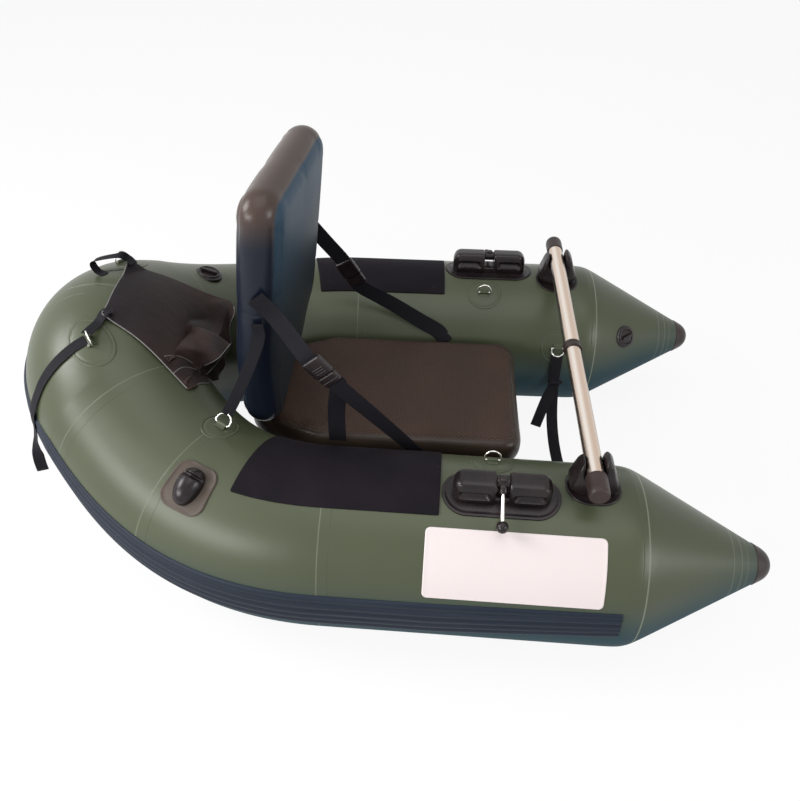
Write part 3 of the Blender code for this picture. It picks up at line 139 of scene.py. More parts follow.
# Numbers and frames
def unit(vectors):
    """Vectors along the last axis, each divided by its length."""
    vectors = np.asarray(vectors, float)
    return vectors / np.linalg.norm(vectors, axis=-1, keepdims=True)


def eased(low, high, values):
    """A smooth step: 0 up to low, 1 from high, and 3t^2 - 2t^3 of the share between."""
    share = np.clip((np.asarray(values, float) - low) / (high - low), 0, 1)
    return share * share * (3 - 2 * share)


def travelled(grid):
    """How far along a grid or a path each of its rows lies, by the mean step of its columns."""
    steps = np.linalg.norm(np.diff(grid, axis=0), axis=-1)
    return np.append(0, np.cumsum(steps.reshape(len(steps), -1).mean(1)))


def at_even_steps(path, reach, count, endpoint=True):
    """A path's rows, read at even steps of the reach that is given for each of them."""
    even = np.linspace(0, reach[-1], count, endpoint=endpoint)
    return np.stack([np.interp(even, reach, column) for column in path.T], -1)


def round_steps(count):
    """Even angles round a circle."""
    return np.linspace(0, 2 * math.pi, count, endpoint=False)


def bell(values, middle, width, power=2):
    """1 at the middle, falling as a bell of this width, and flatter on top with a higher power."""
    return np.exp(-np.abs((values - middle) / width) ** power)


def turning(axis, degrees):
    """A frame turned about an axis."""
    return np.array(Matrix.Rotation(math.radians(degrees), 4, axis))


def shifted(*offset):
    """A frame shifted by this much."""
    return np.array(Matrix.Translation(offset))


def framed(*columns):
    """A 4 x 4 frame from its three directions and its origin."""
    return np.vstack([np.column_stack(columns), (0, 0, 0, 1)])


def frame_of(origin, along, away):
    """A frame with X along the first direction and Z as near the second as can be."""
    along = unit(along)
    across = unit(np.cross(away, along))
    return framed(along, across, np.cross(along, across), origin)


def at(place, *where):
    """A point given in a frame, in world space."""
    return place[:3, :3] @ np.array(where, float) + place[:3, 3]


def put(place, grid):
    """Every point of a grid, taken from a frame to world space."""
    return grid @ place[:3, :3].T + place[:3, 3]


# Hull surface
def bend_line(travels):
    """The port tube's centre from the end of its arm (0) to the middle of the stern (2): a cubic Bezier in plan,
    then an arc of a circle. Its height grows with a power of the share of the way aft."""
    heading = math.radians(90 - STERN_ARC)

    def arc(values):
        turn = math.radians(STERN_ARC) * (2 - values)
        return np.stack([STERN_RADIUS * (1 - np.cos(turn)) - STERN_REACH, STERN_RADIUS * np.sin(turn)], -1)

    start = np.array([-BEND_REACH, ARM_OFFSET - TOE_OUT * BEND_REACH])
    lead = start - ARM_LEAD * np.array([1, TOE_OUT])
    end = arc(np.array([1.0]))[0]
    trail = end + ARC_LEAD * np.array([math.cos(heading), math.sin(heading)])
    share = np.minimum(travels, 1)[:, None]
    rest = 1 - share
    curve = rest**3 * start + 3 * rest**2 * share * lead + 3 * rest * share**2 * trail + share**3 * end
    plan = np.where(travels[:, None] < 1, curve, arc(np.maximum(travels, 1)))
    rise = (np.maximum(-plan[:, 0] - BEND_REACH, 0) / (STERN_REACH - BEND_REACH)) ** RISE_POWER
    return np.column_stack([BAR_X + plan[:, 0], plan[:, 1], AXIS_HEIGHT + STERN_RISE * rise])


def arm_line(forward):
    """The port arm's centre line: a straight line that toes out."""
    forward = np.asarray(forward, float)
    return np.stack([BAR_X + forward, ARM_OFFSET + TOE_OUT * forward, np.full_like(forward, AXIS_HEIGHT)], -1)


def directions(centres, headings):
    """Outboard is level and square to the heading. Upward is square to both, and stands steeper further aft."""
    flat = np.stack([headings[:, 1], -headings[:, 0], np.zeros(len(headings))], -1)
    outboard = unit(flat)
    share = np.maximum(BAR_X - BEND_REACH - centres[:, 0], 0) / (STERN_REACH - BEND_REACH)
    leaning = headings * np.stack([np.ones_like(share), np.ones_like(share), 1 - STEEPENING * share**2], -1)
    return np.concatenate([outboard, unit(np.cross(outboard, leaning))], -1)


def line_table(travels, arm_stops):
    """Centres and directions along the port tube, one row per stop."""
    step = 1e-4
    arm = arm_line(arm_stops)
    bend = bend_line(travels)
    headings = bend_line(np.minimum(travels + step, 2)) - bend_line(travels - step)
    headings[-1] = (0, -1, 0)
    headings = np.concatenate([np.tile([-1, -TOE_OUT, 0], (len(arm), 1)), unit(headings)])
    centres = np.concatenate([arm, bend])
    return np.column_stack([centres, directions(centres, headings)])


RING_TRAVELS = np.concatenate(
    [np.arange(1, BEND_RINGS + 1) / BEND_RINGS, 1 + np.arange(1, ARC_RINGS + 1) / ARC_RINGS]
)
RINGS = line_table(RING_TRAVELS, [SEAM_REACH, -BEND_REACH])
RING_AFT = travelled(RINGS[:, :3]) - SEAM_REACH * ARM_SCALE
FINE_TRAVELS = np.linspace(0.002, 2, 400)
LINE = line_table(FINE_TRAVELS, [TIP_REACH, 0.0, -BEND_REACH])
LINE_AFT = np.append(
    np.array([-TIP_REACH, 0, BEND_REACH]) * ARM_SCALE,
    np.interp(FINE_TRAVELS, np.append(0, RING_TRAVELS), RING_AFT[1:]),
)
STERN_AFT = RING_AFT[-1]


def read(distances, table, aft):
    """Centre, outboard and upward directions at these distances aft, read between a table's rows."""
    values = np.stack([np.interp(aft, distances, column) for column in table.T], -1)
    return values[..., :3], unit(values[..., 3:6]), unit(values[..., 6:])


def skin_radius(aft):
    """The tube's radius, and forward of the seam the cone's, which shrinks evenly. The lesser of the two is taken
    with a soft minimum, -k ln(exp(-a/k) + exp(-b/k)), so that the shoulder is rounded."""
    share = (-np.asarray(aft, float) / ARM_SCALE - SEAM_REACH) / (TIP_REACH - SEAM_REACH)
    cone = TUBE_RADIUS + (TIP_RADIUS - TUBE_RADIUS) * share
    return -SHOULDER * np.logaddexp(-TUBE_RADIUS / SHOULDER, -cone / SHOULDER)


def hull(side, aft, angle, lift=0.0):
    """Points of a tube's skin: its centre, plus radius and lift times the sine of the angle outboard and its
    cosine upward."""
    aft, angle, lift = np.broadcast_arrays(np.asarray(aft, float), angle, lift)
    centre, outboard, up = read(LINE_AFT, LINE, aft)
    turn = np.radians(angle)[..., None]
    reach = (skin_radius(aft) + lift)[..., None]
    return (centre + reach * (np.sin(turn) * outboard + np.cos(turn) * up)) * [1, side, 1]


def seat_on_hull(side, aft, angle, lift=0.0):
    """The frame of a fitting's solid: X forward along the tube, Y round it toward port, Z away from it."""

    def point(where, reach):
        centre, outboard, up = read(RING_AFT, RINGS, where)
        turn = math.radians(angle)
        return (centre + (TUBE_RADIUS + reach) * (math.sin(turn) * outboard + math.cos(turn) * up)) * [1, side, 1]

    away = unit(point(aft, 1) - point(aft, 0))
    forward = point(aft - 0.004, 0) - point(aft + 0.004, 0)
    return frame_of(point(aft, lift), forward - forward @ away * away, away)


def arm_frame(side):
    """A frame at the cone's seam, with Z forward along the arm and X upward."""
    axis = unit([1, side * TOE_OUT, 0])
    return framed((0, 0, 1), np.cross(axis, (0, 0, 1)), axis, arm_line(SEAM_REACH) * [1, side, 1])


# Meshes from grids
def placed(name, data, place=None):
    """A new object in the scene, in a frame."""
    obj = bpy.data.objects.new(name, data)
    if place is not None:
        obj.matrix_world = Matrix(place.tolist())
    bpy.context.scene.collection.objects.link(obj)
    return obj


class Form:
    """Closed shells gathered into one mesh. Each is a grid of points, rows by columns, whose columns close on
    themselves. Its map runs in metres: U along the rows, V round the columns."""

    def __init__(self):
        self.points, self.corners, self.sizes, self.spots = [], [], [], []
        self.count = 0

    def add(self, grid, ends="fan", along=None, around=None):
        """Adds one shell. Its ends are closed by a fan each, by a zip between the two halves of the end row, or
        by joining the last row to the first."""
        rows, columns = grid.shape[:2]
        if along is None:
            along = travelled(grid)
        if around is None:
            around = travelled(np.concatenate([grid, grid[:, :1]], 1).swapaxes(0, 1))
        index = np.arange(rows * columns).reshape(rows, columns)
        if ends == "loop":
            step = np.linalg.norm(grid[0] - grid[-1], axis=-1).mean()
            index = np.concatenate([index, index[:1]])
            along = np.append(along, along[-1] + step)
        beside = np.roll(index, -1, 1)
        low, high = along[:-1, None], along[1:, None]
        near, far = around[:-1], around[1:]
        pairs = [np.broadcast_arrays(*pair) for pair in ((low, near), (low, far), (high, far), (high, near))]
        faces = [np.stack([index[:-1], beside[:-1], beside[1:], index[1:]], -1).reshape(-1, 4)]
        spots = [np.stack([np.stack(pair, -1) for pair in pairs], -2).reshape(-1, 4, 2)]
        points = grid.reshape(-1, 3)
        if ends == "fan":
            points = np.concatenate([points, grid[:1].mean(1), grid[-1:].mean(1)])
            for row, pole in ((0, rows * columns), (rows - 1, rows * columns + 1)):
                turn = 1 if row else -1
                pair = [index[row], beside[row]][::turn]
                faces.append(np.stack([np.full(columns, pole), *pair], -1))
                values = ((near + far) / 2, *(near, far)[::turn])
                spots.append(np.stack([np.stack([np.full(columns, along[row]), value], -1) for value in values], -2))
        if ends == "zip":
            half = columns // 2
            for row in (0, rows - 1):
                one, two = index[row], index[row, ::-1]
                quad = [one[: half - 1], one[1:half], two[1:half], two[: half - 1]]
                faces.append(np.stack(quad if row else [quad[0], *quad[:0:-1]], -1))
                ends_at = np.stack([np.full(half - 1, along[row]), around[: half - 1]], -1)
                spots.append(np.repeat(ends_at[:, None], 4, 1))
        volume = 0
        for group in faces:
            first, *others = (points[column] for column in group.T)
            for second, third in zip(others, others[1:]):
                volume += np.sum(first * np.cross(second, third))
        for group, spot in zip(faces, spots):
            if volume < 0:
                group, spot = group[:, ::-1], spot[:, ::-1]
            self.corners.append((group + self.count).reshape(-1))
            self.sizes.append(np.full(len(group), group.shape[1]))
            self.spots.append(spot.reshape(-1, 2))
        self.points.append(points)
        self.count += len(points)
        return self

    def gather(self, grids):
        """Adds several shells."""
        for grid in grids:
            self.add(grid)
        return self

    def make(self, name, maker, body, nodes, slot, edge=40):
        """Makes the piece in a maker's finish. It rides on a body and stands for these nodes."""
        mesh = bpy.data.meshes.new(name)
        points, corners, sizes = (np.concatenate(parts) for parts in (self.points, self.corners, self.sizes))
        mesh.vertices.add(len(points))
        mesh.vertices.foreach_set("co", points.astype(np.float32).reshape(-1))
        mesh.loops.add(len(corners))
        mesh.loops.foreach_set("vertex_index", corners.astype(np.int32))
        mesh.polygons.add(len(sizes))
        mesh.polygons.foreach_set("loop_start", (np.cumsum(sizes) - sizes).astype(np.int32))
        mesh.update(calc_edges=True)
        spots = mesh.uv_layers.new(name="Cloth")
        spots.data.foreach_set("uv", np.concatenate(self.spots).astype(np.float32).reshape(-1))
        mesh.validate()
        mesh.shade_smooth()
        if edge:
            mesh.set_sharp_from_angle(angle=math.radians(edge))
        mesh.materials.append(finish(maker))
        obj = placed(name, mesh)
        if body:
            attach(obj, body)
        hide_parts(*nodes)
        return obj


def through(points, count):
    """A smooth curve through a few points: between each two a cubic whose slopes are the mean of the steps beside
    them. It is read at even distances."""
    points = np.asarray(points, float)
    slopes = np.gradient(points, axis=0)
    where = np.linspace(0, len(points) - 1, max(8 * count, 200))
    index = np.minimum(where.astype(int), len(points) - 2)
    t = (where - index)[:, None]
    curve = (
        (2 * t**3 - 3 * t**2 + 1) * points[index]
        + (t**3 - 2 * t**2 + t) * slopes[index]
        + (3 * t**2 - 2 * t**3) * points[index + 1]
        + (t**3 - t**2) * slopes[index + 1]
    )
    return at_even_steps(curve, travelled(curve[:, :3]), count)


def soften(profile, radius, steps=4, closed=False):
    """A profile whose corners are rounded: each becomes a quadratic Bezier that starts and ends up to the radius
    away, and never past the middle of a side."""
    profile = np.asarray(profile, float)
    before, after = np.roll(profile, 1, 0), np.roll(profile, -1, 0)
    if not closed:
        before[0], after[-1] = profile[0], profile[-1]

    def toward(other):
        span = np.linalg.norm(other - profile, axis=1, keepdims=True)
        return profile + (other - profile) * np.minimum(radius / np.maximum(span, 1e-9), 0.5)

    t = np.linspace(0, 1, steps)[None, :, None]
    start, end = toward(before)[:, None], toward(after)[:, None]
    curve = ((1 - t) ** 2 * start + 2 * t * (1 - t) * profile[:, None] + t**2 * end).reshape(-1, 2)
    return curve[np.append(True, np.linalg.norm(np.diff(curve, axis=0), axis=1) > 1e-7)]


def turned(profile, columns=64):
    """A turned shell about Z: each profile point, as (radius, height), goes round a circle."""
    turn = round_steps(columns)
    radius, height = np.asarray(profile, float).T[..., None]
    return np.stack([radius * np.cos(turn), radius * np.sin(turn), np.repeat(height, columns, 1)], -1)


def oval(half_width, half_height, power=2.0, count=32):
    """A superellipse: |x/a|^n + |y/b|^n = 1."""
    turn = round_steps(count)
    circle = np.stack([np.cos(turn), np.sin(turn)], -1)
    return np.array([half_width, half_height]) * np.sign(circle) * np.abs(circle) ** (2 / power)


def carried(path, across, away, profile):
    """A profile carried along a path: each path point plus the profile's first value across and its second away."""
    if profile.ndim == 2:
        profile = np.broadcast_to(profile, (len(path), *profile.shape))
    return path[:, None] + profile[..., :1] * across[:, None] + profile[..., 1:] * away[:, None]


def wire(path, radius, normal, closed=False, count=14):
    """A round wire along a path, with its section turned by a direction that is never along it."""
    path = np.asarray(path, float)
    if closed:
        tangents = unit(np.roll(path, -1, 0) - np.roll(path, 1, 0))
    else:
        tangents = unit(np.gradient(path, axis=0))
    across = unit(np.cross(tangents, normal))
    return carried(path, across, np.cross(across, tangents), oval(radius, radius, 2, count))


def brick(half_sizes, power=5.0, ends=0.35, rows=40, columns=48):
    """A rounded block: superellipses in Y and Z along X, which shrink near its ends as a quarter of one too."""
    length, width, height = half_sizes
    reach = ends * min(width, height) * 2
    turn = np.linspace(0, math.pi / 2, rows // 4)
    end = length - reach + reach * np.sin(turn)
    middle = np.linspace(-(length - reach), length - reach, rows // 2)[1:-1]
    x = np.concatenate([-end[::-1], middle, end])
    share = np.clip((np.abs(x) - (length - reach)) / reach, 0, 1)
    inset = reach * (1 - np.sqrt(np.maximum(1 - share**2, 0)))
    sections = oval(1, 1, power, columns) * np.stack([width - inset, height - inset], -1)[:, None]
    return np.concatenate([np.repeat(x[:, None, None], columns, 1), sections], -1)


def outline(half_length, half_width, corner, count):
    """A rectangle with round corners, read at even steps round it from its forward end."""
    turn = round_steps(96) + math.pi / 96
    corner = min(corner, half_length, half_width)
    x = (half_length - corner) * np.sign(np.cos(turn)) + corner * np.cos(turn)
    y = (half_width - corner) * np.sign(np.sin(turn)) + corner * np.sin(turn)
    ring = np.stack([np.append(x, x[0]), np.append(y, y[0])], -1)
    return at_even_steps(ring, travelled(ring), count, endpoint=False)


def patch(side, aft, angle, sizes, steps, count=120, inner=8):
    """A glued or moulded patch on the hull: outlines drawn in from its edge and lifted off the skin by these
    (inset, lift) steps, then shrunk to its middle. Its underside lies on the skin."""
    half_length, half_width, corner = sizes
    rows = []
    for inset, lift in steps:
        ring = outline(half_length - inset, half_width - inset, max(corner - inset, 0.002), count)
        rows.append(np.column_stack([ring, np.full(count, lift)]))
    under = [rows[0] * [share, share, 0] - [0, 0, 0.0006] for share in np.linspace(0.02, 1, inner)]
    rows += [rows[-1] * [share, share, 1] for share in np.linspace(1, 0.02, inner)[1:]]
    flat = np.stack(under + rows)
    return hull(side, aft - flat[..., 0], angle + np.degrees(flat[..., 1] / TUBE_RADIUS), flat[..., 2])


def ribbon(points, acrosses, aways, width, count=60, thickness=0.0015):
    """A webbing strap: a flat rounded section carried along a smooth line, thickening away from it. Its directions
    are given for each point, or once for all."""
    rows = through(np.concatenate(np.broadcast_arrays(points, acrosses, aways), -1), count)
    path = rows[:, :3]
    along = unit(np.gradient(path, axis=0))
    across = unit(rows[:, 3:6] - np.sum(rows[:, 3:6] * along, 1, keepdims=True) * along)
    normal = np.cross(along, across)
    normal *= np.sign(np.sum(normal * rows[:, 6:], 1, keepdims=True))
    section = oval(width / 2, thickness / 2, 6, 28)
    return carried(path + normal * thickness / 2, across, normal, section)


# Finishes
class Value:
    """A number that varies over a surface. Arithmetic on it adds Math nodes."""

    def __init__(self, finish, socket):
        self.finish, self.socket = finish, socket

    def made(self, *node):
        return Value(self.finish, self.finish.node(*node).outputs[0])

    def math(self, operation, *others):
        return self.made("ShaderNodeMath", {"operation": operation}, dict(enumerate((self, *others))))

    def __add__(self, other):
        return self.math("ADD", other)

    __radd__ = __add__

    def __mul__(self, other):
        return self.math("MULTIPLY", other)

    def __sub__(self, other):
        return self.math("SUBTRACT", other)

    def __rsub__(self, other):
        return (self * -1) + other

    def __abs__(self):
        return self.math("ABSOLUTE")

    def over(self, low, high):
        """A smooth step from 0 at low to 1 at high."""
        settings = {"interpolation_type": "SMOOTHSTEP", "clamp": True}
        return self.made("ShaderNodeMapRange", settings, {0: self, 1: low, 2: high, 3: 0.0, 4: 1.0})

    def near(self, middle, reach, blur):
        """1 within this reach of a value, falling to 0 over the blur."""
        return 1 - abs(self - middle).over(reach, reach + blur)

    def marks(self, *rows):
        """The sum of lines drawn near several values, each given with its reach and blur."""
        return sum(self.near(*row) for row in rows)


class Finish:
    """A material in the making, with one Principled shader."""

    def __init__(self, name, colour, roughness, metallic=0.0, specular=0.5):
        self.material = bpy.data.materials.new(name)
        self.material.use_nodes = True
        self.tree = self.material.node_tree
        self.shader = self.tree.nodes["Principled BSDF"]
        values = {"Base Color": (*colour, 1), "Roughness": roughness, "Metallic": metallic,
                  "Specular IOR Level": specular}
        for key, value in values.items():
            self.feed(key, value)
        self.material.diffuse_color = (*colour, 1)

    def node(self, kind, settings=(), sockets=()):
        """A node of this kind, with its settings made first and then the values or links of its sockets."""
        made = self.tree.nodes.new(kind)
        for name, value in dict(settings).items():
            setattr(made, name, value)
        for key, value in dict(sockets).items():
            self.join(made.inputs[key], value)
        return made

    def join(self, socket, value):
        if isinstance(value, Value):
            value = value.socket
        if isinstance(value, bpy.types.NodeSocket):
            self.tree.links.new(value, socket)
        else:
            socket.default_value = value

    def feed(self, name, value):
        self.join(self.shader.inputs[name], value)

    def place(self):
        """Object coordinates, in metres."""
        return self.node("ShaderNodeTexCoord").outputs["Object"]

    def cloth(self):
        """The piece's own map: metres along it and round it."""
        return self.node("ShaderNodeUVMap", {"uv_map": "Cloth"}).outputs["UV"]

    def panel(self):
        """1 on a pad's front or top panel, and 0 on its border."""
        return Value(self, self.node("ShaderNodeAttribute", {"attribute_name": "panel"}).outputs["Fac"])

    def part(self, coordinates, axis):
        """One coordinate as a value."""
        return Value(self, self.node("ShaderNodeSeparateXYZ", (), {0: coordinates}).outputs[axis])

    def stretched(self, coordinates, scales):
        """Coordinates times a scale for each axis."""
        return self.node("ShaderNodeVectorMath", {"operation": "MULTIPLY"}, {0: coordinates, 1: scales}).outputs[0]

    def noise(self, coordinates, scale, detail=3.0, roughness=0.5):
        """Smooth noise from 0 to 1."""
        sockets = {"Vector": coordinates, "Scale": scale, "Detail": detail, "Roughness": roughness}
        return Value(self, self.node("ShaderNodeTexNoise", (), sockets).outputs[0])

    def cells(self, coordinates, scale):
        """Distance to the middle of the nearest cell."""
        return Value(self, self.node("ShaderNodeTexVoronoi", (), {"Vector": coordinates, "Scale": scale}).outputs[0])

    def wave(self, value, pitch):
        """Ridges one pitch apart, from 0 to 1: half of one plus the sine of the value."""
        return (value * (2 * math.pi / pitch)).math("SINE") * 0.5 + 0.5

    def mix(self, mask, first, second):
        """The first colour where the mask is 0, and the second where it is 1."""
        first, second = ((*c, 1) if isinstance(c, tuple) and len(c) == 3 else c for c in (first, second))
        return self.node("ShaderNodeMix", {"data_type": "RGBA"}, {0: mask, 6: first, 7: second}).outputs[2]

    def done(self, colour, roughness, height=None, depth=0.0):
        """Feeds the shader and gives the material. A height from 0 to 1 stands this deep as relief, in metres."""
        self.feed("Base Color", colour)
        self.feed("Roughness", roughness)
        if height is not None:
            relief = self.node("ShaderNodeBump", (), {"Strength": 1.0, "Distance": depth, "Height": height})
            self.feed("Normal", relief.outputs[0])
        return self.material


SEAMS_AFT = (0.515, 0.83, 1.05, STERN_AFT - 0.011)


def shaded(colour, *shares):
    """A colour times one share, or a share for each of red, green and blue."""
    return tuple(np.multiply(colour, shares))


def hull_fabric(name, seams):
    """Coated fabric: a fine grain, with painted shade and a painted teal reflection low down. The seams give its
    painted highlight lines and its relief.
    """
    looks = bpy.context.scene.boat_hull
    top = tuple(looks.tube_colour)
    made = Finish(name, top, looks.tube_roughness, specular=0.37)
    place, cloth = made.place(), made.cloth()
    cloudy, fine = made.noise(place, 3.5, 3), made.noise(place, 1400, 2)
    # Painted shade and a painted teal reflection: the colour turns to the low colour toward the bottom of the tubes.
    lower = (0.26 - made.part(place, 2) + cloudy * 0.04).over(0.0, 0.14)
    colour = made.mix(cloudy.over(0.35, 0.75) * 0.35, top, shaded(top, 1.2, 1.15, 1.05))
    colour = made.mix(lower, colour, tuple(looks.painted_low_shade_colour))
    lines, relief = seams(made, cloth, made.part(cloth, 0), fine)
    # Painted highlight lines along the seams.
    colour = made.mix(lines, colour, tuple(looks.seam_highlight_colour))
    roughness = cloudy * 0.1 + fine * 0.06 + lower * 0.42 + (looks.tube_roughness - 0.08)
    return made.done(colour, roughness, relief, 0.001)


def coated_fabric():
    """The tubes' fabric, with a glued lap at each seam and a painted highlight along its edge."""

    def seams(made, cloth, aft, fine):
        laps = aft.marks(*((seam, 0.010, 0.0008) for seam in SEAMS_AFT))
        # Painted highlight: a pale line just past each lap's edge.
        lines = aft.marks(*((seam + 0.0105, 0.0006, 0.0014) for seam in SEAMS_AFT))
        wrinkle = made.noise(made.stretched(cloth, (26.0, 5.0, 1.0)), 1.0, 4, 0.6)
        return lines * 0.3, laps * 0.5 + fine * 0.035 + wrinkle * 0.35

    return hull_fabric("coated_fabric", seams)


def cone_fabric():
    """The cones' fabric, with its lap at the tube's seam, and fine laps and pleats near the tip. Their lines are
    painted highlights.
    """

    def seams(made, cloth, reach, fine):
        # Painted highlights: a pale line at the tube's seam and along the fine laps near the tip.
        seam = reach.near(0.0115, 0.0007, 0.0016)
        rings = reach.marks((0.212, 0.0006, 0.0014), (0.232, 0.0006, 0.0014), (0.247, 0.0005, 0.001))
        laps = reach.over(0.010, 0.0125) + reach.over(0.211, 0.213) + reach.over(0.231, 0.233)
        pleats = made.noise(made.stretched(cloth, (9.0, 60.0, 1.0)), 1.0, 3) * reach.over(0.13, 0.24)
        ripples = made.noise(made.stretched(cloth, (40.0, 6.0, 1.0)), 1.0, 4, 0.6)
        relief = 1 - laps * 0.3 + fine * 0.03 + pleats * 0.3 + ripples * 0.25
        return seam * 0.75 + rings * 0.25, relief

    return hull_fabric("cone_fabric", seams)


def mottled(name, colour, rough, specular, cloud, share, tint, grain, matt, depth):
    """A moulded or smooth skin: its colour is clouded with a tint of itself, and its gloss by cloud and grain."""
    made = Finish(name, tuple(colour), rough, specular=specular)
    place = made.place()
    cloudy, fine = made.noise(place, *cloud), made.noise(place, grain, 2)
    low, high, strength = share
    mixed = made.mix(cloudy.over(low, high) * strength, tuple(colour), shaded(colour, *tint))
    return made.done(mixed, cloudy * matt[0] + fine * matt[1] + matt[2], fine, depth)


def moulded_rubber():
    """Moulded rubber of the nose caps, bar caps and collar: soft black with a brownish bloom."""
    colour = bpy.context.scene.boat_fittings.rubber_colour
    return mottled("moulded_rubber", colour, 0.42, 0.3, (14, 4, 0.6), (0.35, 0.8, 1), (2.0, 1.75, 1.7), 1800,
                   (0.22, 0.08, 0.26), 0.00012)


def patch_rubber():
    """Paler moulded rubber of the handles' patches."""
    colour = bpy.context.scene.boat_fittings.patch_colour
    return mottled("patch_rubber", colour, 0.5, 0.3, (25, 3), (0.3, 0.8, 1), (0.8,), 1800, (0.15, 0, 0.42), 0.00012)


def glossy_plastic():
    """Moulded nylon of the oarlocks, cradles, grips, valves and buckles: near black, satin, with a faint grain."""
    colour = bpy.context.scene.boat_fittings.plastic_colour
    return mottled("glossy_plastic", colour, 0.3, 0.3, (22, 3), (0.3, 0.8, 1), (2.1, 1.8, 1.8), 2200,
                   (0.16, 0.05, 0.17), 0.00006)


def pale_sheet():
    """Smooth pale sheet of the side panels, faintly mottled."""
    colour = bpy.context.scene.boat_hull.panel_colour
    return mottled("pale_sheet", colour, 0.5, 0.5, (5, 2), (0.3, 0.9, 0.4), (0.955,), 900, (0, 0.1, 0.44), 0.00006)


def strake_rubber():
    """Ribbed rubber of the strake: a blue-black that greys along its ribs."""
    dark = (0.008, 0.013, 0.024)
    made = Finish("strake_rubber", dark, 0.5, specular=0.22)
    cloth = made.cloth()
    scuff = made.noise(made.stretched(cloth, (3.0, 60.0, 1.0)), 1.0, 4, 0.6)
    fine = made.noise(made.place(), 1500, 2)
    colour = made.mix(scuff.over(0.45, 0.8) * 0.5, dark, (0.028, 0.036, 0.055))
    return made.done(colour, scuff * 0.2 + 0.42, fine, 0.0001)


def wear_foam():
    """Closed-cell foam of the wear pads: matt black with fine cells and a few pale specks."""
    dark = (0.007, 0.0055, 0.008)
    made = Finish("wear_foam", dark, 0.8, specular=0.08)
    place = made.place()
    cells = made.cells(place, 700)
    specks = 1 - made.cells(place, 38).over(0.02, 0.045)
    cloudy = made.noise(place, 9, 3)
    colour = made.mix(cloudy.over(0.3, 0.8), dark, (0.012, 0.0095, 0.013))
    colour = made.mix(specks * 0.5, colour, (0.22, 0.21, 0.22))
    return made.done(colour, cloudy * 0.15 + 0.68, cells, 0.0002)


def bright_steel():
    """Polished stainless wire, with faint drawing marks."""
    made = Finish("bright_steel", (0.78, 0.76, 0.72), 0.18, 1.0)
    marks = made.noise(made.place(), 260, 3)
    colour = made.mix(marks.over(0.5, 0.9), (0.80, 0.78, 0.74), (0.6, 0.57, 0.53))
    return made.done(colour, marks * 0.2 + 0.1, marks, 0.00005)


def anodised_bar():
    """Drawn aluminium of the bar: a warm champagne with faint die lines along it, a painted highlight band, a painted
    rosy reflection band and painted shade along its two edges.
    """
    looks = bpy.context.scene.boat_fittings
    tone = tuple(looks.bar_colour)
    made = Finish("anodised_bar", tone, 0.24, 1.0)
    place = made.place()
    across = (made.part(place, 0) - BAR_X) * (1 / BAR_RADIUS)
    streaks = made.noise(made.stretched(place, (260.0, 0.8, 260.0)), 1.0, 2)
    # Painted highlight: a pale band along the bar.
    painted_highlight = across.near(-0.38, 0.10, 0.22)
    # Painted reflection: a darker rosy band along the bar.
    painted_reflection_band = across.near(0.22, 0.10, 0.26)
    # Painted shade along the bar's front and rear edges.
    shade = across.near(1.0, 0.10, 0.34) + across.near(-1.0, 0.02, 0.20)
    colour = made.mix(painted_highlight * 0.8, tone, (0.86, 0.80, 0.74))
    colour = made.mix(painted_reflection_band * 0.55, colour, shaded(tone, 0.82, 0.72, 0.68))
    colour = made.mix(shade * 0.8, colour, (0.20, 0.20, 0.22))
    colour = made.mix(streaks.over(0.35, 0.8) * 0.25, colour, shaded(tone, 0.8))
    return made.done(colour, streaks * 0.08 + 0.2)


def seat_fabric():
    """The seat's skin: a ribbed, diamond-woven top panel inside a smooth glossy border."""
    looks = bpy.context.scene.boat_seat
    top, border = tuple(looks.top_colour), tuple(looks.border_colour)
    made = Finish("seat_fabric", border, 0.4, specular=0.25)
    place = made.place()
    panel = made.panel()
    x, y = made.part(place, 0), made.part(place, 1)
    pitch = looks.weave_pitch * 2
    weave = made.wave(x + y * 1.7, pitch) * made.wave(x - y * 1.7, pitch)
    fine = made.noise(place, 1100, 2)
    cloudy = made.noise(place, 7, 3)
    woven = made.mix(weave.over(0.15, 0.8), shaded(top, 0.5, 0.45, 0.45), top)
    woven = made.mix(cloudy.over(0.3, 0.8) * 0.3, woven, shaded(top, 1.25, 1.1, 1.0))
    relief = weave * panel * 0.6 + fine * 0.08 + cloudy * (1 - panel) * 0.6
    return made.done(made.mix(panel, border, woven), panel * 0.32 + cloudy * 0.12 + 0.26, relief, 0.001)


def back_fabric():
    """The backrest's skin: glossy coated fabric, with a fine honeycomb on its front face, a painted blue reflection
    toward the top of that face and a painted brown reflection along its top rim.
    """
    looks = bpy.context.scene.boat_seat
    dark = tuple(looks.back_colour)
    made = Finish("back_fabric", dark, 0.3, specular=0.26)
    place = made.place()
    panel = made.panel()
    mesh = made.cells(place, 190)
    cloudy = made.noise(place, 6, 3)
    fine = made.noise(place, 1300, 2)
    height = made.part(place, 2)
    # Painted reflection: the front face turns blue toward its top, in both tones of its honeycomb.
    tint = made.mix(height.over(0.58, 0.86), (0.007, 0.009, 0.012), (0.012, 0.036, 0.068))
    pale = made.mix(height.over(0.5, 0.86), (0.010, 0.014, 0.018), (0.017, 0.045, 0.076))
    front = made.mix(mesh.over(0.1, 0.5), tint, pale)
    # Painted reflection: a brown band along the rounded top rim.
    rim = made.mix(height.over(0.76, 0.85), dark, (0.060, 0.040, 0.033))
    relief = mesh * panel * 0.3 + fine * 0.05 + cloudy * 0.5
    return made.done(made.mix(panel, rim, front), panel * 0.2 + cloudy * 0.14 + 0.22, relief, 0.0009)


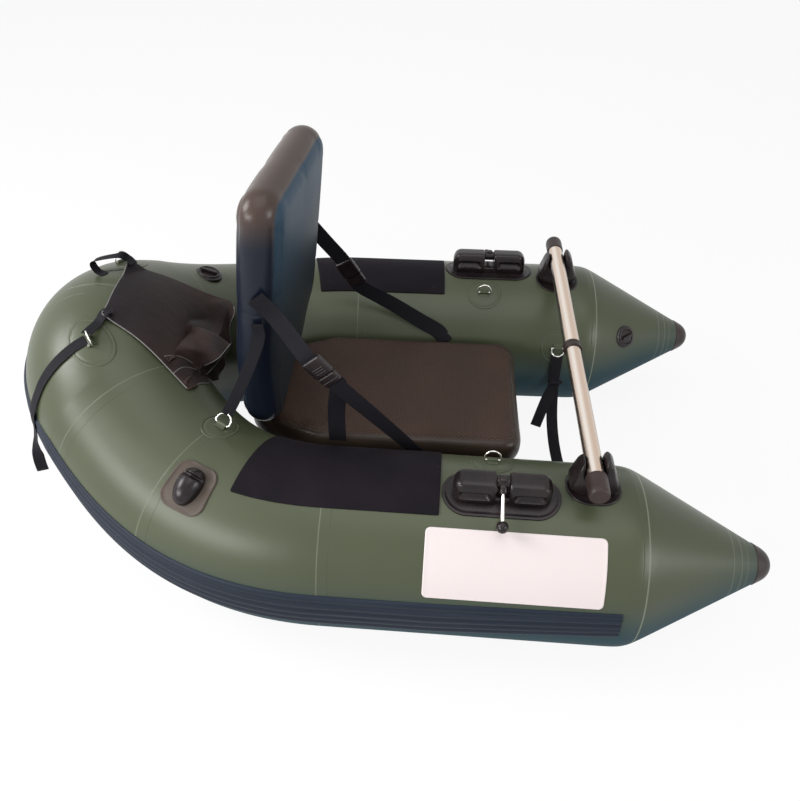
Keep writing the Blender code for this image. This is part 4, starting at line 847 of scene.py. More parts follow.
def cover_cloth():
    """Coated nylon of the cover and sling: satin, nearly black, browner where it is stretched thin."""
    looks = bpy.context.scene.boat_cloth
    dark, brown = tuple(looks.cover_colour), tuple(looks.cover_wear_colour)
    made = Finish("cover_cloth", dark, 0.5, specular=0.15)
    place, cloth = made.place(), made.cloth()
    warp = made.wave(made.part(cloth, 0), 0.0012)
    weft = made.wave(made.part(cloth, 1), 0.0012)
    cloudy = made.noise(place, 9, 4, 0.55)
    crease = made.noise(made.stretched(place, (20.0, 34.0, 20.0)), 1.0, 5, 0.6)
    x = made.part(place, 0)
    worn = x.over(-0.60, -0.44) * cloudy.over(0.25, 0.6)
    relief = warp * weft * 0.04 + crease * 0.7 + cloudy * 0.5
    return made.done(made.mix(worn * 0.75, dark, brown), cloudy * 0.2 + 0.36, relief, 0.0022)


def webbing():
    """Woven polyester webbing: fine ribs across it and a herringbone along it."""
    looks = bpy.context.scene.boat_cloth
    dark = tuple(looks.webbing_colour)
    made = Finish("webbing", dark, 0.62, specular=0.1)
    cloth = made.cloth()
    along, around = made.part(cloth, 0), made.part(cloth, 1)
    ribs = made.wave(along + abs(around.math("PINGPONG", 0.004)) * 0.7, 0.0016)
    cords = made.wave(around, 0.0034)
    cloudy = made.noise(made.place(), 30, 3)
    colour = made.mix(ribs * cords * 0.8, dark, shaded(dark, 1.9))
    return made.done(colour, cloudy * 0.2 + 0.5, ribs * 0.5 + cords * 0.5, 0.0004)


def piping_cloth():
    """Pale binding along the cover's edges."""
    made = Finish("piping_cloth", (0.13, 0.12, 0.12), 0.55)
    cloth = made.cloth()
    twist = made.wave(made.part(cloth, 0) + made.part(cloth, 1) * 0.8, 0.003)
    return made.done(made.mix(twist, (0.085, 0.08, 0.08), (0.22, 0.205, 0.20)), 0.55, twist, 0.0003)


@functools.cache
def finish(maker):
    """The finish that a maker gives, made once."""
    return maker()


# Pieces of the hull
def skin_grid(side, aft, along, count):
    """Circles of a tube's skin at each distance aft, and its map along it and round it."""
    angle = np.linspace(0, 360, count, endpoint=False) + 180
    return hull(side, aft[:, None], angle[None]), "fan", along, np.radians(np.append(angle, 540)) * TUBE_RADIUS


def tube_grid(side):
    """A tube's skin, from the cone's seam to the middle of the stern."""
    aft = np.linspace(-SEAM_REACH * ARM_SCALE, STERN_AFT - 0.0002, 420)
    return skin_grid(side, aft, aft, 200)


def cone_grid(side):
    """A cone's skin, from the tube's seam to its cap."""
    reach = np.append(np.linspace(0, 0.03, 40), np.linspace(0.03, CAP_REACH - SEAM_REACH, 120)[1:])
    return skin_grid(side, -(SEAM_REACH + reach) * ARM_SCALE, reach, 160)


def nose_grid(side):
    """A nose cap: a short cone that rounds over into the tip, its radius times the root of 1 - t^5."""
    share = np.sin(np.linspace(0, math.pi / 2, 48))
    radius = (0.0443 - 0.0200 * share) * np.sqrt(np.maximum(1 - share**5, 0))
    rim = CAP_REACH - SEAM_REACH
    height = rim + (TIP_REACH - CAP_REACH) * share
    profile = np.column_stack([radius, height])[:-1]
    lip = soften([(0.030, rim - 0.006), (0.0405, rim - 0.006), (0.0443, rim - 0.003), (0.0446, rim)], 0.001)
    return put(arm_frame(side), turned(np.concatenate([lip, profile[1:]]), 72))


def strake_grid(ribs):
    """The ribbed strake round the hull: across it the lift is a base plus a raised cosine for each rib."""
    front, level_from = -0.07, 0.30
    aft = np.append(np.linspace(front, level_from, 60), np.linspace(level_from, STERN_AFT, 260)[1:])
    level = np.clip((aft - front) / (level_from - front), 0, 1)
    low, high = 75 + 2 * level, 95 + 11 * level
    share = np.linspace(0, 1, 72)
    rib = (0.5 - 0.5 * np.cos(2 * math.pi * ribs * share)) ** 0.55
    edge = np.sqrt(np.clip(np.minimum(share, 1 - share) / 0.02, 0, 1))
    lift = edge * (0.0019 + 0.0030 * rib) + 0.0002
    share = np.concatenate([share, [1, 0.66, 0.33, 0]])
    lift = np.concatenate([lift, [-0.001] * 4])
    angle = low[:, None] + (high - low)[:, None] * share
    port, starboard = (hull(side, aft[:, None], angle, lift[None]) for side in (1, -1))
    return np.concatenate([port, starboard[::-1][1:]])


def cradle_grid(side, bar_radius):
    """A cradle's saddle: a U that wraps the bar, rising to a pointed ear ahead of it and a lower one behind. At
    each stop its inner and outer edges, in the bar's own plane, bound a superellipse across the boat."""
    clear = bar_radius + 0.0004
    stops = [-1, -0.8, -0.6, -0.3, 0, 0.3, 0.6, 0.8, 1]
    half = clear / math.sqrt(2)
    inner = [(-clear - 0.001, 0.014), (-clear, 0.006), (-clear, 0), (-half, -half), (0, -clear), (half, -half),
             (clear, 0), (clear + 0.001, 0.010), (clear + 0.003, 0.0205)]
    outer = [(-clear - 0.004, 0.0145), (-clear - 0.010, 0.003), (-clear - 0.015, -0.014), (-0.040, -0.052),
             (0.004, -0.072), (0.055, -0.051), (clear + 0.026, -0.010), (clear + 0.019, 0.010),
             (clear + 0.010, 0.0215)]
    widths = [0.014, 0.020, 0.024, 0.029, 0.031, 0.030, 0.027, 0.023, 0.016]
    rows = through(np.column_stack([inner, outer, widths, stops]), 72)
    seat = seat_on_hull(side, CRADLE_AFT, CRADLE_ANGLE)[:3, 3]
    origin = np.array([BAR_X, seat[1], BAR_HEIGHT])
    near, far = (np.insert(pair, 1, 0, 1) for pair in (rows[:, :2], rows[:, 2:4]))
    middle, reach = (near + far) / 2 + origin, far - near
    thick = np.linalg.norm(reach, axis=1)
    section = oval(1, 1, 4, 48) * np.stack([rows[:, 4], thick / 2], -1)[:, None]
    return carried(middle, np.broadcast_to([0.0, 1.0, 0.0], reach.shape), unit(reach), section)


def oarlock_block(end):
    """One of an oarlock's two blocks, in the fitting's frame: a superellipse carried along it, whose outer end
    rounds over and whose two long faces are pressed in by a slot."""
    inner, outer, radius = 0.0132, 0.0975, 0.024
    turn = np.linspace(0, math.pi / 2, 26)
    rounding = 0.003
    x = np.concatenate([
        inner + rounding * (1 - np.cos(turn[::4])),
        np.linspace(inner + 0.004, outer - radius, 60),
        outer - radius + radius * np.sin(turn)[1:],
    ])
    near = np.clip((inner + rounding - x) / rounding, 0, 1)
    far = np.clip((x - outer + radius) / radius, 0, 1)
    shrink = np.maximum(1 - far**2.4, 0) ** (1 / 2.4)
    width = 0.0265 * shrink - 0.002 * near
    height = 0.0285 * (0.35 + 0.65 * shrink) - 0.002 * near
    section = oval(1, 1, 4.6, 112)
    x, shrink = x[:, None], shrink[:, None]
    y = section[:, 0] * width[:, None]
    z = section[:, 1] * height[:, None] + 0.0235 * (0.6 + 0.4 * shrink)
    y *= 1 - 0.10 * eased(0.01, 0.05, z)
    slot = bell(x, 0.054, 0.0285, 8) * bell(z, 0.0225, 0.0082, 6)
    lip = bell(x, 0.054, 0.0335, 10) * bell(z, 0.0225, 0.0125, 8) - slot
    face = eased(0.55, 0.9, np.abs(section[:, 0]))
    y *= 1 - 0.40 * slot * face + 0.05 * lip * face
    return np.stack(np.broadcast_arrays(end * x, y, z), -1)


def egg_grid():
    """A carry handle's grip, in its fitting's frame: an ellipsoid that narrows toward its outboard end, with a
    finger slit pressed into its top near the inboard end."""
    turn = np.linspace(0.02, math.pi - 0.02, 90)[:, None]
    way = round_steps(96)
    y = 0.040 * np.cos(turn)
    ring = np.sin(turn) ** 0.85
    x = 0.0275 * ring * (1 + 0.10 * np.cos(turn)) * np.cos(way)
    z = 0.0300 * ring * np.sin(way)
    slit = bell(y, 0.0215, 0.0038, 4) * eased(0.2, 0.6, np.sin(way))
    ledge = bell(y, 0.0305, 0.0048, 4) * eased(0.1, 0.5, np.sin(way))
    return np.stack(np.broadcast_arrays(x * (1 - 0.05 * slit), y, z * (1 - 0.42 * slit + 0.10 * ledge)), -1)


def ring_path():
    """A D-ring's line in its own frame: a straight bar, two short shoulders and half a circle."""
    turn = np.linspace(0, math.pi, 33)
    arc = np.column_stack([0.017 * np.cos(turn), 0.006 + 0.017 * np.sin(turn)])
    corners = soften([(0, 0), (0.017, 0), (0.017, 0.0065)], 0.004, 6)[:-1]
    return np.concatenate([corners, arc, (corners * [-1, 1])[::-1][:-1]])


def keeper_grid():
    """A ring's keeper, in the ring's frame: a strap folded over the bar and flared into its patch."""
    arch = np.linspace(-0.15 * math.pi, 1.15 * math.pi, 26)
    loop = np.column_stack([0.0046 * np.cos(arch), 0.0046 * np.sin(arch)])
    feet = [(-0.0072, -0.0036), (-0.0115, -0.0052), (0.0115, -0.0052), (0.0072, -0.0036)]
    section = soften(np.concatenate([loop, feet]), 0.0012, 4, closed=True)
    x = 0.0115 * np.sin(np.linspace(-math.pi / 2, math.pi / 2, 25))
    inset = 0.0011 * (1 - np.sqrt(np.maximum(1 - np.clip((np.abs(x) - 0.0104) / 0.0011, 0, 1) ** 2, 0)))
    shrink = 1 - inset / 0.0046
    centre = np.array([0, -0.001])
    rings = centre + (section - centre)[None] * shrink[:, None, None]
    return np.concatenate([np.repeat(x[:, None, None], section.shape[0], 1), rings], -1)


def valve_body(radius):
    """A valve's flange, in its own frame: a dished disc with a raised, fluted rim round the recess."""
    rim = radius * 0.8
    profile = [(radius, -0.006), (radius, 0.0012), (radius - 0.002, 0.0024), (rim + 0.001, 0.0030),
               (rim, 0.0066), (rim - 0.0012, 0.0072), (rim - 0.0036, 0.0070), (rim - 0.0042, 0.0030),
               (rim - 0.0045, 0.0023), (0.004, 0.0022)]
    grid = turned(soften(profile, 0.0009, 4), 96)
    reach = np.hypot(grid[..., 0], grid[..., 1])
    on_rim = eased(rim - 0.002, rim, reach) * (1 - eased(rim + 0.001, rim + 0.003, reach))
    grid[..., :2] *= (1 + 0.012 * np.cos(24 * round_steps(96)) * on_rim)[..., None]
    return grid


def cap_grids(radius):
    """A valve's screw cap: a dished disc, and a rounded grip across it."""
    edge = radius * 0.8 - 0.0046
    profile = [(edge, 0.0028), (edge, 0.0052), (edge - 0.0008, 0.0058), (edge - 0.003, 0.0056),
               (edge - 0.004, 0.0046), (0.003, 0.0044)]
    bar = brick((edge - 0.0022, 0.0036, 0.0042), 4, 0.5, 40, 40) + [0, 0, 0.0078]
    return turned(soften(profile, 0.0006, 4), 72), bar


def pad_valve_grids(radius=0.017, height=0.007):
    """A cushion's push valve: a domed collar with a stopper in the middle."""
    profile = [(radius, 0), (radius, height * 0.4), (radius * 0.72, height), (radius * 0.48, height),
               (radius * 0.45, height - 0.003), (0.001, height - 0.003)]
    stopper = [(radius * 0.36, height - 0.004), (radius * 0.36, height - 0.0008), (radius * 0.2, height),
               (0.001, height)]
    return turned(soften(profile, 0.001, 4), 64), turned(soften(stopper, 0.0008, 4), 48)


# Pieces of the seat
def pad_grid(half_length, half_width, thickness, corner, crown, power=2.0, inner=22, count=200):
    """An air pad: outlines drawn in round a quarter superellipse to each face, then shrunk to the middle, with a
    crown that falls to nothing at the edges."""
    edge = thickness / 2
    turn = np.linspace(0, math.pi / 2, 16)
    rows = []
    for angle in turn:
        inset = edge * (1 - max(math.cos(angle), 0) ** (2 / power))
        ring = outline(half_length - inset, half_width - inset, max(corner - inset, 0.012), count)
        rows.append(np.column_stack([ring, np.full(count, edge * math.sin(angle) ** (2 / power))]))
    last = rows[-1]
    rows += [last * [share, share, 1] for share in np.linspace(1, 0.01, inner)[1:]]
    top = np.stack(rows)
    under = top[::-1] * [1, 1, -1]
    x, y = top[..., 0] / half_length, top[..., 1] / half_width
    top[..., 2] += crown * np.clip(1 - x**2, 0, 1) ** 2 * np.clip(1 - y**2, 0, 1)
    return np.concatenate([under[:-1], top])


def seat_share(x):
    """How much of its full width the seat has: all of it forward of the taper, then evenly less aft."""
    return 1 - 0.39 * np.clip((SEAT_MIDDLE - x - SEAT_TAPER) / (SEAT_REAR - SEAT_TAPER), 0, 1)


def coordinates(obj):
    """An object's points after its modifiers, as an array."""
    shape = obj.evaluated_get(bpy.context.evaluated_depsgraph_get())
    mesh = shape.to_mesh()
    points = np.empty(len(mesh.vertices) * 3)
    mesh.vertices.foreach_get("co", points)
    shape.to_mesh_clear()
    return points.reshape(-1, 3)


def air_up(obj, pressure, cap, voxel=0.006, frames=20):
    """Swells a closed pad: it is remeshed in even cells, pressed out from within as cloth, and no point moves
    further than the cap."""
    remesh = obj.modifiers.new("Even cells", "REMESH")
    remesh.mode = "VOXEL"
    remesh.voxel_size = voxel
    graph = bpy.context.evaluated_depsgraph_get()
    mesh = bpy.data.meshes.new_from_object(obj.evaluated_get(graph))
    obj.modifiers.clear()
    for material in obj.data.materials:
        mesh.materials.append(material)
    obj.data = mesh
    rest = coordinates(obj)
    cloth = obj.modifiers.new("Air", "CLOTH")
    settings = {
        "quality": 5, "mass": 0.3, "tension_stiffness": 12, "compression_stiffness": 12, "shear_stiffness": 5,
        "bending_stiffness": 0.6, "use_pressure": True, "uniform_pressure_force": pressure,
    }
    for name, value in settings.items():
        setattr(cloth.settings, name, value)
    cloth.settings.effector_weights.gravity = 0
    scene = bpy.context.scene
    for number in range(1, frames + 1):
        scene.frame_set(number)
    moved = coordinates(obj) - rest
    obj.modifiers.clear()
    scene.frame_set(1)
    length = np.linalg.norm(moved, axis=1, keepdims=True)
    return rest + moved * np.minimum(1, cap / np.maximum(length, 1e-9))


def edge_distance(x, y, half_length, half_width, corner):
    """How far a point lies inside a rectangle with round corners."""
    across = np.abs(x) - (half_length - corner)
    along = np.abs(y) - (half_width - corner)
    outside = np.hypot(np.maximum(across, 0), np.maximum(along, 0))
    return corner - outside - np.minimum(np.maximum(across, along), 0)


def shape_pad(obj, points, panel):
    """Gives a pad its points, and the share of its panel at each, and smooths it."""
    obj.data.vertices.foreach_set("co", np.asarray(points, np.float32).reshape(-1))
    obj.data.update()
    attribute = obj.data.attributes.new("panel", "FLOAT", "POINT")
    attribute.data.foreach_set("value", np.asarray(panel, np.float32))
    obj.data.shade_smooth()
    smooth = obj.modifiers.new("Smooth", "SUBSURF")
    smooth.levels = 1
    smooth.render_levels = 1


def back_frame():
    """The backrest's hinge, in the middle of its rounded foot: X up its height, Z to its front."""
    share = (SEAT_MIDDLE - BACK_REACH) / ((SEAT_REAR - SEAT_FRONT) / 2)
    crown = 0.004 * (1 - share**2) ** 2
    lean = math.radians(BACK_LEAN)
    origin = (BAR_X - BACK_REACH, 0, SEAT_TOP + crown + GAP + BACK_THICKNESS / 2)
    return frame_of(origin, (math.sin(lean), 0, math.cos(lean)), (math.cos(lean), 0, -math.sin(lean)))


# Straps
BUCKLES = {"starboard": (-0.54, 0.232, 0.51), "port": (-0.53, 0.236, 0.45)}
STRAP_FEET = {"starboard": 0.345, "port": 0.31}


def twisted(points):
    """Points of the backrest, turned the more the higher they lie, because its two straps pull unevenly: X grows
    by Y times the tangent of an angle that rises smoothly from the foot."""
    turn = math.radians(BACK_TWIST) * eased(0.30, 0.52, points[..., 2])
    return points + np.stack([np.tan(turn) * points[..., 1], 0 * turn, 0 * turn], -1)


def side_anchor(name):
    """Where a side strap leaves the front edge of the backrest's side."""
    return at(back_frame(), 0.29, -SIDES[name] * (BACK_HALF_WIDTH + GAP), 0.02)


def buckle_frame(name):
    """A side buckle's frame where the plug meets the socket: X toward the backrest, Z outboard."""
    side = SIDES[name]
    forward, across, height = BUCKLES[name]
    centre = np.array([BAR_X + forward, side * across, height])
    along = side_anchor(name) - centre
    along[1] = 0
    return frame_of(centre, along, (0, side, 0))


def strap_foot(name):
    """The two points of a side strap's foot on the inner side of the tube."""
    side, aft = SIDES[name], STRAP_FEET[name]
    return hull(side, aft, -57, 0.0006), hull(side, aft - 0.022, -66, 0.0006)


def upper_strap_grid(name):
    """From the backrest's side down to the buckle's socket."""
    place = buckle_frame(name)
    toward, outboard = place[:3, 0], np.array([0.0, SIDES[name], 0.0])
    anchor = side_anchor(name)
    top = at(place, SOCKET_TOP, 0, 0)
    beyond = {"starboard": 0.05, "port": 0.022}[name]
    points = [anchor + toward * beyond, anchor, (anchor + top) / 2, top + toward * 0.012, top - toward * 0.008]
    return ribbon(points, np.cross(outboard, toward), outboard, 0.040)


def lower_strap_grid(name):
    """From the buckle's plug down to the tube. The starboard one is folded back at the plug, and hangs free."""
    side = SIDES[name]
    place = buckle_frame(name)
    toward, outboard = place[:3, 0], np.array([0.0, side, 0.0])
    inboard = -outboard
    low, high = strap_foot(name)
    away = unit(hull(side, STRAP_FEET[name], -57, 1) - hull(side, STRAP_FEET[name], -57))
    foot_across = unit(np.cross(high - low, away))
    bottom = at(place, PLUG_FOOT, 0, 0)
    across = np.cross(outboard, toward)
    if across @ foot_across < 0:
        across = -across
    points = [bottom + toward * 0.008, bottom - toward * 0.012]
    points += [bottom * 0.6 + low * 0.4, bottom * 0.25 + low * 0.75, low, high]
    turned_by = np.array([0, 0, 0.3, 0.7, 1, 1])[:, None]
    acrosses = across * (1 - turned_by) + foot_across * turned_by
    aways = inboard * (1 - turned_by) + away * turned_by
    return ribbon(points, acrosses, aways, 0.040)


def tail_grid():
    """The starboard strap's free tail, which hangs inboard of it from the plug."""
    place = buckle_frame("starboard")
    toward, inboard = place[:3, 0], np.array([0.0, 1.0, 0.0])
    bottom = at(place, PLUG_FOOT, 0, 0) + inboard * 0.0036
    end = np.array([BAR_X - 0.523, -0.2216, 0.315])
    points = [bottom + toward * 0.006, bottom - toward * 0.012, (bottom + end) / 2 + inboard * 0.004, end]
    return ribbon(points, np.cross(toward, inboard), -inboard, 0.038)


RING_PLACES = {
    "starboard_front": (-1, 0.19, 6.5 - math.degrees(0.1045 / TUBE_RADIUS), 20),
    "port_front": (1, 0.19, 6.5 - math.degrees(0.1011 / TUBE_RADIUS), 20),
    "starboard_inner": (-1, -0.011, -67, -95),
    "port_inner": (1, -0.011, -67, -95),
    "starboard_side": (-1, 0.832, -18, -35),
    "starboard_stern": (-1, 1.156, 10, 0),
    "port_stern": (1, 1.188, 9, 0),
}


def ring_frame(name):
    """Where a D-ring's straight bar lies in its keeper, before its tilt."""
    side, aft, angle, _ = RING_PLACES[name]
    bent = 0.0008 if aft + RING_PATCH_RADIUS > BEND_REACH else 0
    return seat_on_hull(side, aft, angle, KEEPER_LIFT + bent)


def tilted(name):
    """A D-ring's own frame, turned about its bar."""
    side, _, _, tilt = RING_PLACES[name]
    return ring_frame(name) @ turning("X", -side * tilt)


def ring_apex(name, beyond):
    return at(tilted(name), 0, 0, 0.025 + beyond)


def rear_strap_grid():
    """From the starboard side ring up to the backrest's starboard side."""
    place = back_frame()
    top = at(place, 0.262, BACK_HALF_WIDTH + GAP, -0.012)
    bend = at(place, 0.222, (BACK_HALF_WIDTH + GAP) * 1.008, -0.008)
    foot = ring_apex("starboard_side", -0.004)
    return ribbon([foot, (foot + bend) / 2 + [0.004, 0, 0], bend, top], (1, 0, 0), (0, -1, 0), 0.025)


def front_strap_grid():
    """A slack strap hung between the two inner rings, under the bar."""
    port, starboard = ring_apex("port_inner", -0.003), ring_apex("starboard_inner", -0.003)
    hang = [(0.975, 0.031), (0.91, 0.091), (0.623, 0.151), (0.196, 0.167), (-0.335, 0.143), (-0.767, 0.091),
            (-0.975, 0.031)]
    middle = [(port[0], share * port[1], port[2] - drop) for share, drop in hang]
    return ribbon([port, *middle, starboard], (1, 0, 0), (0, 0, 1), 0.030, 90)


def front_tail_grids():
    """The front strap's free tail, which hangs down aft of it, and the slider that it leaves."""
    start = np.array([BAR_X + 0.007, 0.150, 0.192])
    points = [start + [0.006, 0.010, 0.012], start, start + [-0.016, -0.018, -0.036], start + [-0.044, -0.078, -0.078]]
    acrosses = [[1.0, 0, 0], [1.0, 0, 0.1], [0.95, 0.1, 0.15], [0.9, -0.15, 0.2]]
    tail = ribbon(points, acrosses, (0, -0.3, 1), 0.028, 50)
    place = frame_of(start + [0.004, 0.006, 0.006], (1, 0, 0), (0, 0.55, 0.83))
    return tail, put(place, brick((0.019, 0.012, 0.0045), 5, 0.4))


def cover_strap_grids():
    """The cover's two tethers: a loop from its port rear corner over to the tube, and a strap from its starboard
    rear corner to the stern ring."""
    corner = cover_surface(np.array([0.02]), np.array([0.03]))[0]
    foot = hull(1, 1.238, 4.8, 0.001)
    loop = [corner + [0.012, -0.012, 0.002], corner + [-0.004, 0.0, 0.010], corner + [-0.020, -0.012, 0.022],
            foot + [-0.022, 0.004, 0.026], foot + [-0.016, -0.002, 0.004], foot + [0.004, -0.012, 0.001]]
    aways = [(0, 0, 1), (0, 0, 1), (-0.2, 0, 1), (-0.8, 0, 0.8), (-1, 0, 0.4), (0, 0, 1)]
    first = ribbon(loop, (0.35, 1, 0), aways, 0.020, 70)
    corner = cover_surface(np.array([0.02]), np.array([0.97]))[0]
    ring = ring_apex("starboard_stern", -0.003)
    middle = hull(-1, 1.185, 1.0, 0.004)
    tether = [corner + [0.016, 0.010, 0.002], corner + [0, 0, 0.002], middle, ring]
    return first, ribbon(tether, (0.8, -0.5, 0), (0, 0, 1), 0.024, 50)


def stern_strap_grid():
    """From the starboard stern ring over the side of the tube, then straight down to its free end."""
    angle = np.linspace(12, 90, 12)
    aft = 1.162 - 0.027 * (angle - 12) / 78
    lift = 0.0022 + 0.0036 * eased(60, 76, angle)
    points = hull(-1, aft, angle, lift)
    aways = points - hull(-1, aft, angle, -0.1)
    acrosses = hull(-1, aft + 0.01, angle, lift) - hull(-1, aft - 0.01, angle, lift)
    drop = np.linspace(0, 1, 6)[1:, None]
    last, out = points[-1], unit(aways[-1])
    hang = np.concatenate([np.tile(last[:2], (5, 1)), last[2] + (0.20 - last[2]) * drop], 1)
    hang += out * 0.016 * np.sin(drop * 1.7)
    points = np.concatenate([points, hang])
    share = eased(0.15, 0.75, drop)
    turned_to = unit(acrosses[-1]) * (1 - share) + np.array([-0.93, -0.37, 0]) * share
    acrosses = np.concatenate([unit(acrosses), unit(turned_to)])
    aways = np.concatenate([unit(aways), np.tile(out, (5, 1))])
    return ribbon(points, acrosses, aways, 0.025, 100)


# Cargo cover and sling
HULL_SAMPLES = read(LINE_AFT, LINE, np.linspace(BEND_REACH, STERN_AFT, 140))[0]
HULL_SAMPLES = np.concatenate([HULL_SAMPLES, HULL_SAMPLES * [1, -1, 1]])


def hull_top(x, y, lift):
    """The height of a skin this far off the tubes: the highest of the spheres along their centre lines."""
    radius = TUBE_RADIUS + np.broadcast_to(lift, x.shape).reshape(-1)
    reach = radius**2 - (HULL_SAMPLES[:, 0, None] - x.reshape(-1)) ** 2
    reach = reach - (HULL_SAMPLES[:, 1, None] - y.reshape(-1)) ** 2
    height = np.where(reach > 0, HULL_SAMPLES[:, 2, None] + np.sqrt(np.maximum(reach, 0)), 0)
    return height.max(0).reshape(x.shape)


def cover_surface(along, across, lift=0.0007):
    """The cover's skin: a sheet between four corners in plan. Its height falls from the rear edge to the front,
    sags in the middle, is creased toward its corners, and lies on the tubes where they stand higher."""
    folds = bpy.context.scene.boat_cloth.fold_height
    rear = np.array([-1.035, 0.092]) + (np.array([-1.035, -0.105]) - [-1.035, 0.092]) * across[..., None]
    front = np.array([-0.835, 0.165]) + (np.array([-0.845, -0.195]) - [-0.835, 0.165]) * across[..., None]
    plan = rear + (front - rear) * along[..., None] + [BAR_X, 0]
    pull = 0.012 * np.sin(math.pi * along) * (np.abs(2 * across - 1) ** 3)
    plan[..., 1] -= np.sign(0.5 - across) * pull
    hang = ARM_TOP + 0.16825 - 0.14 * along
    hang -= 0.02 * along * np.sin(math.pi * across)
    hang += folds * np.sin(2 * math.pi * 3 * across) * np.sin(math.pi * along / 1.6)
    hang += 0.5 * folds * np.sin(2 * math.pi * (2.3 * along - 1.4 * across)) * np.sin(math.pi * across)
    hang += 0.35 * folds * np.sin(2 * math.pi * (4.7 * across + 3.1 * along)) * np.sin(math.pi * along)
    hang += 0.016 * (np.maximum(1 - along * 3, 0) * np.maximum(1 - across * 2.2, 0)) ** 1.5
    rise = lift + 0.004 * np.maximum(0, 1 - along * 4)
    height = np.maximum(hang, hull_top(plan[..., 0], plan[..., 1], rise))
    return np.concatenate([plan, height[..., None]], -1)


def two_faced(top, thickness):
    """A sheet of two faces: the rows of the one, and beside them the other's, this much higher."""
    normal = unit(np.cross(np.gradient(top, axis=0), np.gradient(top, axis=1)))
    normal *= np.sign(normal[..., 2:]) + (normal[..., 2:] == 0)
    return np.concatenate([top, (top + normal * thickness)[:, ::-1]], 1)


def cover_grid(rows=90, columns=110, thickness=0.0012):
    """The cover as a sheet of two faces, with a gathered flap hanging from its front edge."""
    along, across = np.meshgrid(np.linspace(0, 1, rows), np.linspace(0, 1, columns), indexing="ij")
    top = cover_surface(along, across)
    drop = np.linspace(0, 1, 24)[1:, None]
    edge = top[-1]
    share = np.linspace(0, 1, columns)
    fall = drop * (0.055 * np.sin(math.pi * share) + 0.004)
    ripple = 0.004 * np.sin(2 * math.pi * 5 * share) * drop
    flap = np.stack([edge[:, 0] + 0.014 * drop + ripple, edge[:, 1] * (1 - 0.12 * drop), edge[:, 2] - fall], -1)
    flap[..., 2] = np.maximum(flap[..., 2], hull_top(flap[..., 0], flap[..., 1], 0.0007))
    top = np.concatenate([top, flap])
    return two_faced(top, thickness), top


HEMS = (
    (0.74, (-0.905, -0.140, 0.437), (-0.877, -0.106, 0.412), (-0.846, -0.091, 0.400), (-0.812, -0.070, 0.407),
     (-0.790, -0.030, 0.420)),
    (0.97, (-0.880, -0.172, 0.412), (-0.868, -0.135, 0.385), (-0.836, -0.090, 0.378), (-0.813, -0.032, 0.384)),
)


def frill_grid(along, *hem, rows=26, columns=70, thickness=0.0011):
    """A frill sewn across the cover: a sheet of two faces, ruled from a line on the cover to a curved hem, that
    bellies out between them by a sine."""
    hem = through(np.array(hem) + [BAR_X, 0, 0], columns)
    across = np.linspace(0.99, 0.42, columns)
    base = cover_surface(np.full(columns, along), across, 0.003) + [0, 0, 0.0016]
    share = np.linspace(0, 1, rows)[:, None, None]
    belly = np.sin(math.pi * share) * (0.008 + 0.004 * np.sin(np.linspace(0, 5 * math.pi, columns)))[None, :, None]
    top = base + (hem - base) * share + belly * np.array([0.5, 0, 0.9])
    top[..., 2] = np.maximum(top[..., 2], hull_top(top[..., 0], top[..., 1], 0.0024))
    flat = (travelled(top.swapaxes(0, 1))[-1], travelled(top)[-1])
    return two_faced(top, thickness), top[-1], flat


def sling_grid(rows=40, thickness=0.0012):
    """The seat's sling: a flap down each arm and a level span between them, as a sheet of two faces."""
    aft = np.linspace(0.16, 0.60, rows)
    angles = np.linspace(-108, -82.2, 14)
    span = np.linspace(1, -1, 40)[1:-1, None]
    faces = []
    for depth in (0, thickness):
        port = hull(1, aft[:, None], angles[None], 0.0006 + depth)
        middle = port[:, -1:] * np.insert(span, [0, 1], 1, 1) - [0, 0, depth]
        faces.append(np.concatenate([port, middle, (port * [1, -1, 1])[:, ::-1]], 1))
    return np.concatenate([faces[0], faces[1][:, ::-1]], 1)


# What a user may change
COLOUR = {"subtype": "COLOR", "size": 3, "min": 0, "max": 1}


class BoatHullLooks(bpy.types.PropertyGroup):
    """Colours and sizes of the hull's skin."""

    tube_colour: FloatVectorProperty(
        name="Tube colour", description="Coated fabric on top of the tubes", default=(0.053, 0.063, 0.034), **COLOUR
    )
    # Painted shade and a painted teal reflection low on the tubes.
    painted_low_shade_colour: FloatVectorProperty(
        name="Lower colour", description="Coated fabric low on the tubes", default=(0.004, 0.032, 0.044), **COLOUR
    )
    # Painted highlight along each glued lap's edge.
    seam_highlight_colour: FloatVectorProperty(
        name="Seam colour", description="Edge of each glued lap", default=(0.20, 0.22, 0.16), **COLOUR
    )
    panel_colour: FloatVectorProperty(
        name="Panel colour", description="Side panels", default=(0.69, 0.615, 0.61), **COLOUR
    )
    tube_roughness: FloatProperty(
        name="Tube roughness", description="How matt the coated fabric is", subtype="FACTOR", min=0.1, max=1,
        default=0.36,
    )
    strake_ribs: IntProperty(name="Strake ribs", description="Ribs along the rubbing strake", min=1, max=12, default=5)


class BoatFittingLooks(bpy.types.PropertyGroup):
    """Colours of the fittings and the bar."""

    rubber_colour: FloatVectorProperty(
        name="Rubber colour", description="Nose caps, bar caps and collar", default=(0.020, 0.013, 0.012), **COLOUR
    )
    patch_colour: FloatVectorProperty(
        name="Patch colour", description="Patches of the carry handles", default=(0.070, 0.052, 0.040), **COLOUR
    )
    plastic_colour: FloatVectorProperty(
        name="Plastic colour", description="Oarlocks, cradles, grips, valves and buckles",
        default=(0.009, 0.0065, 0.0072), **COLOUR
    )
    bar_colour: FloatVectorProperty(
        name="Bar colour", description="Drawn aluminium of the bar", default=(0.66, 0.545, 0.455), **COLOUR
    )
    wire_radius: FloatProperty(
        name="Ring wire", description="Radius of the D-rings' wire", unit="LENGTH", min=0.001, max=0.003,
        default=0.002,
    )


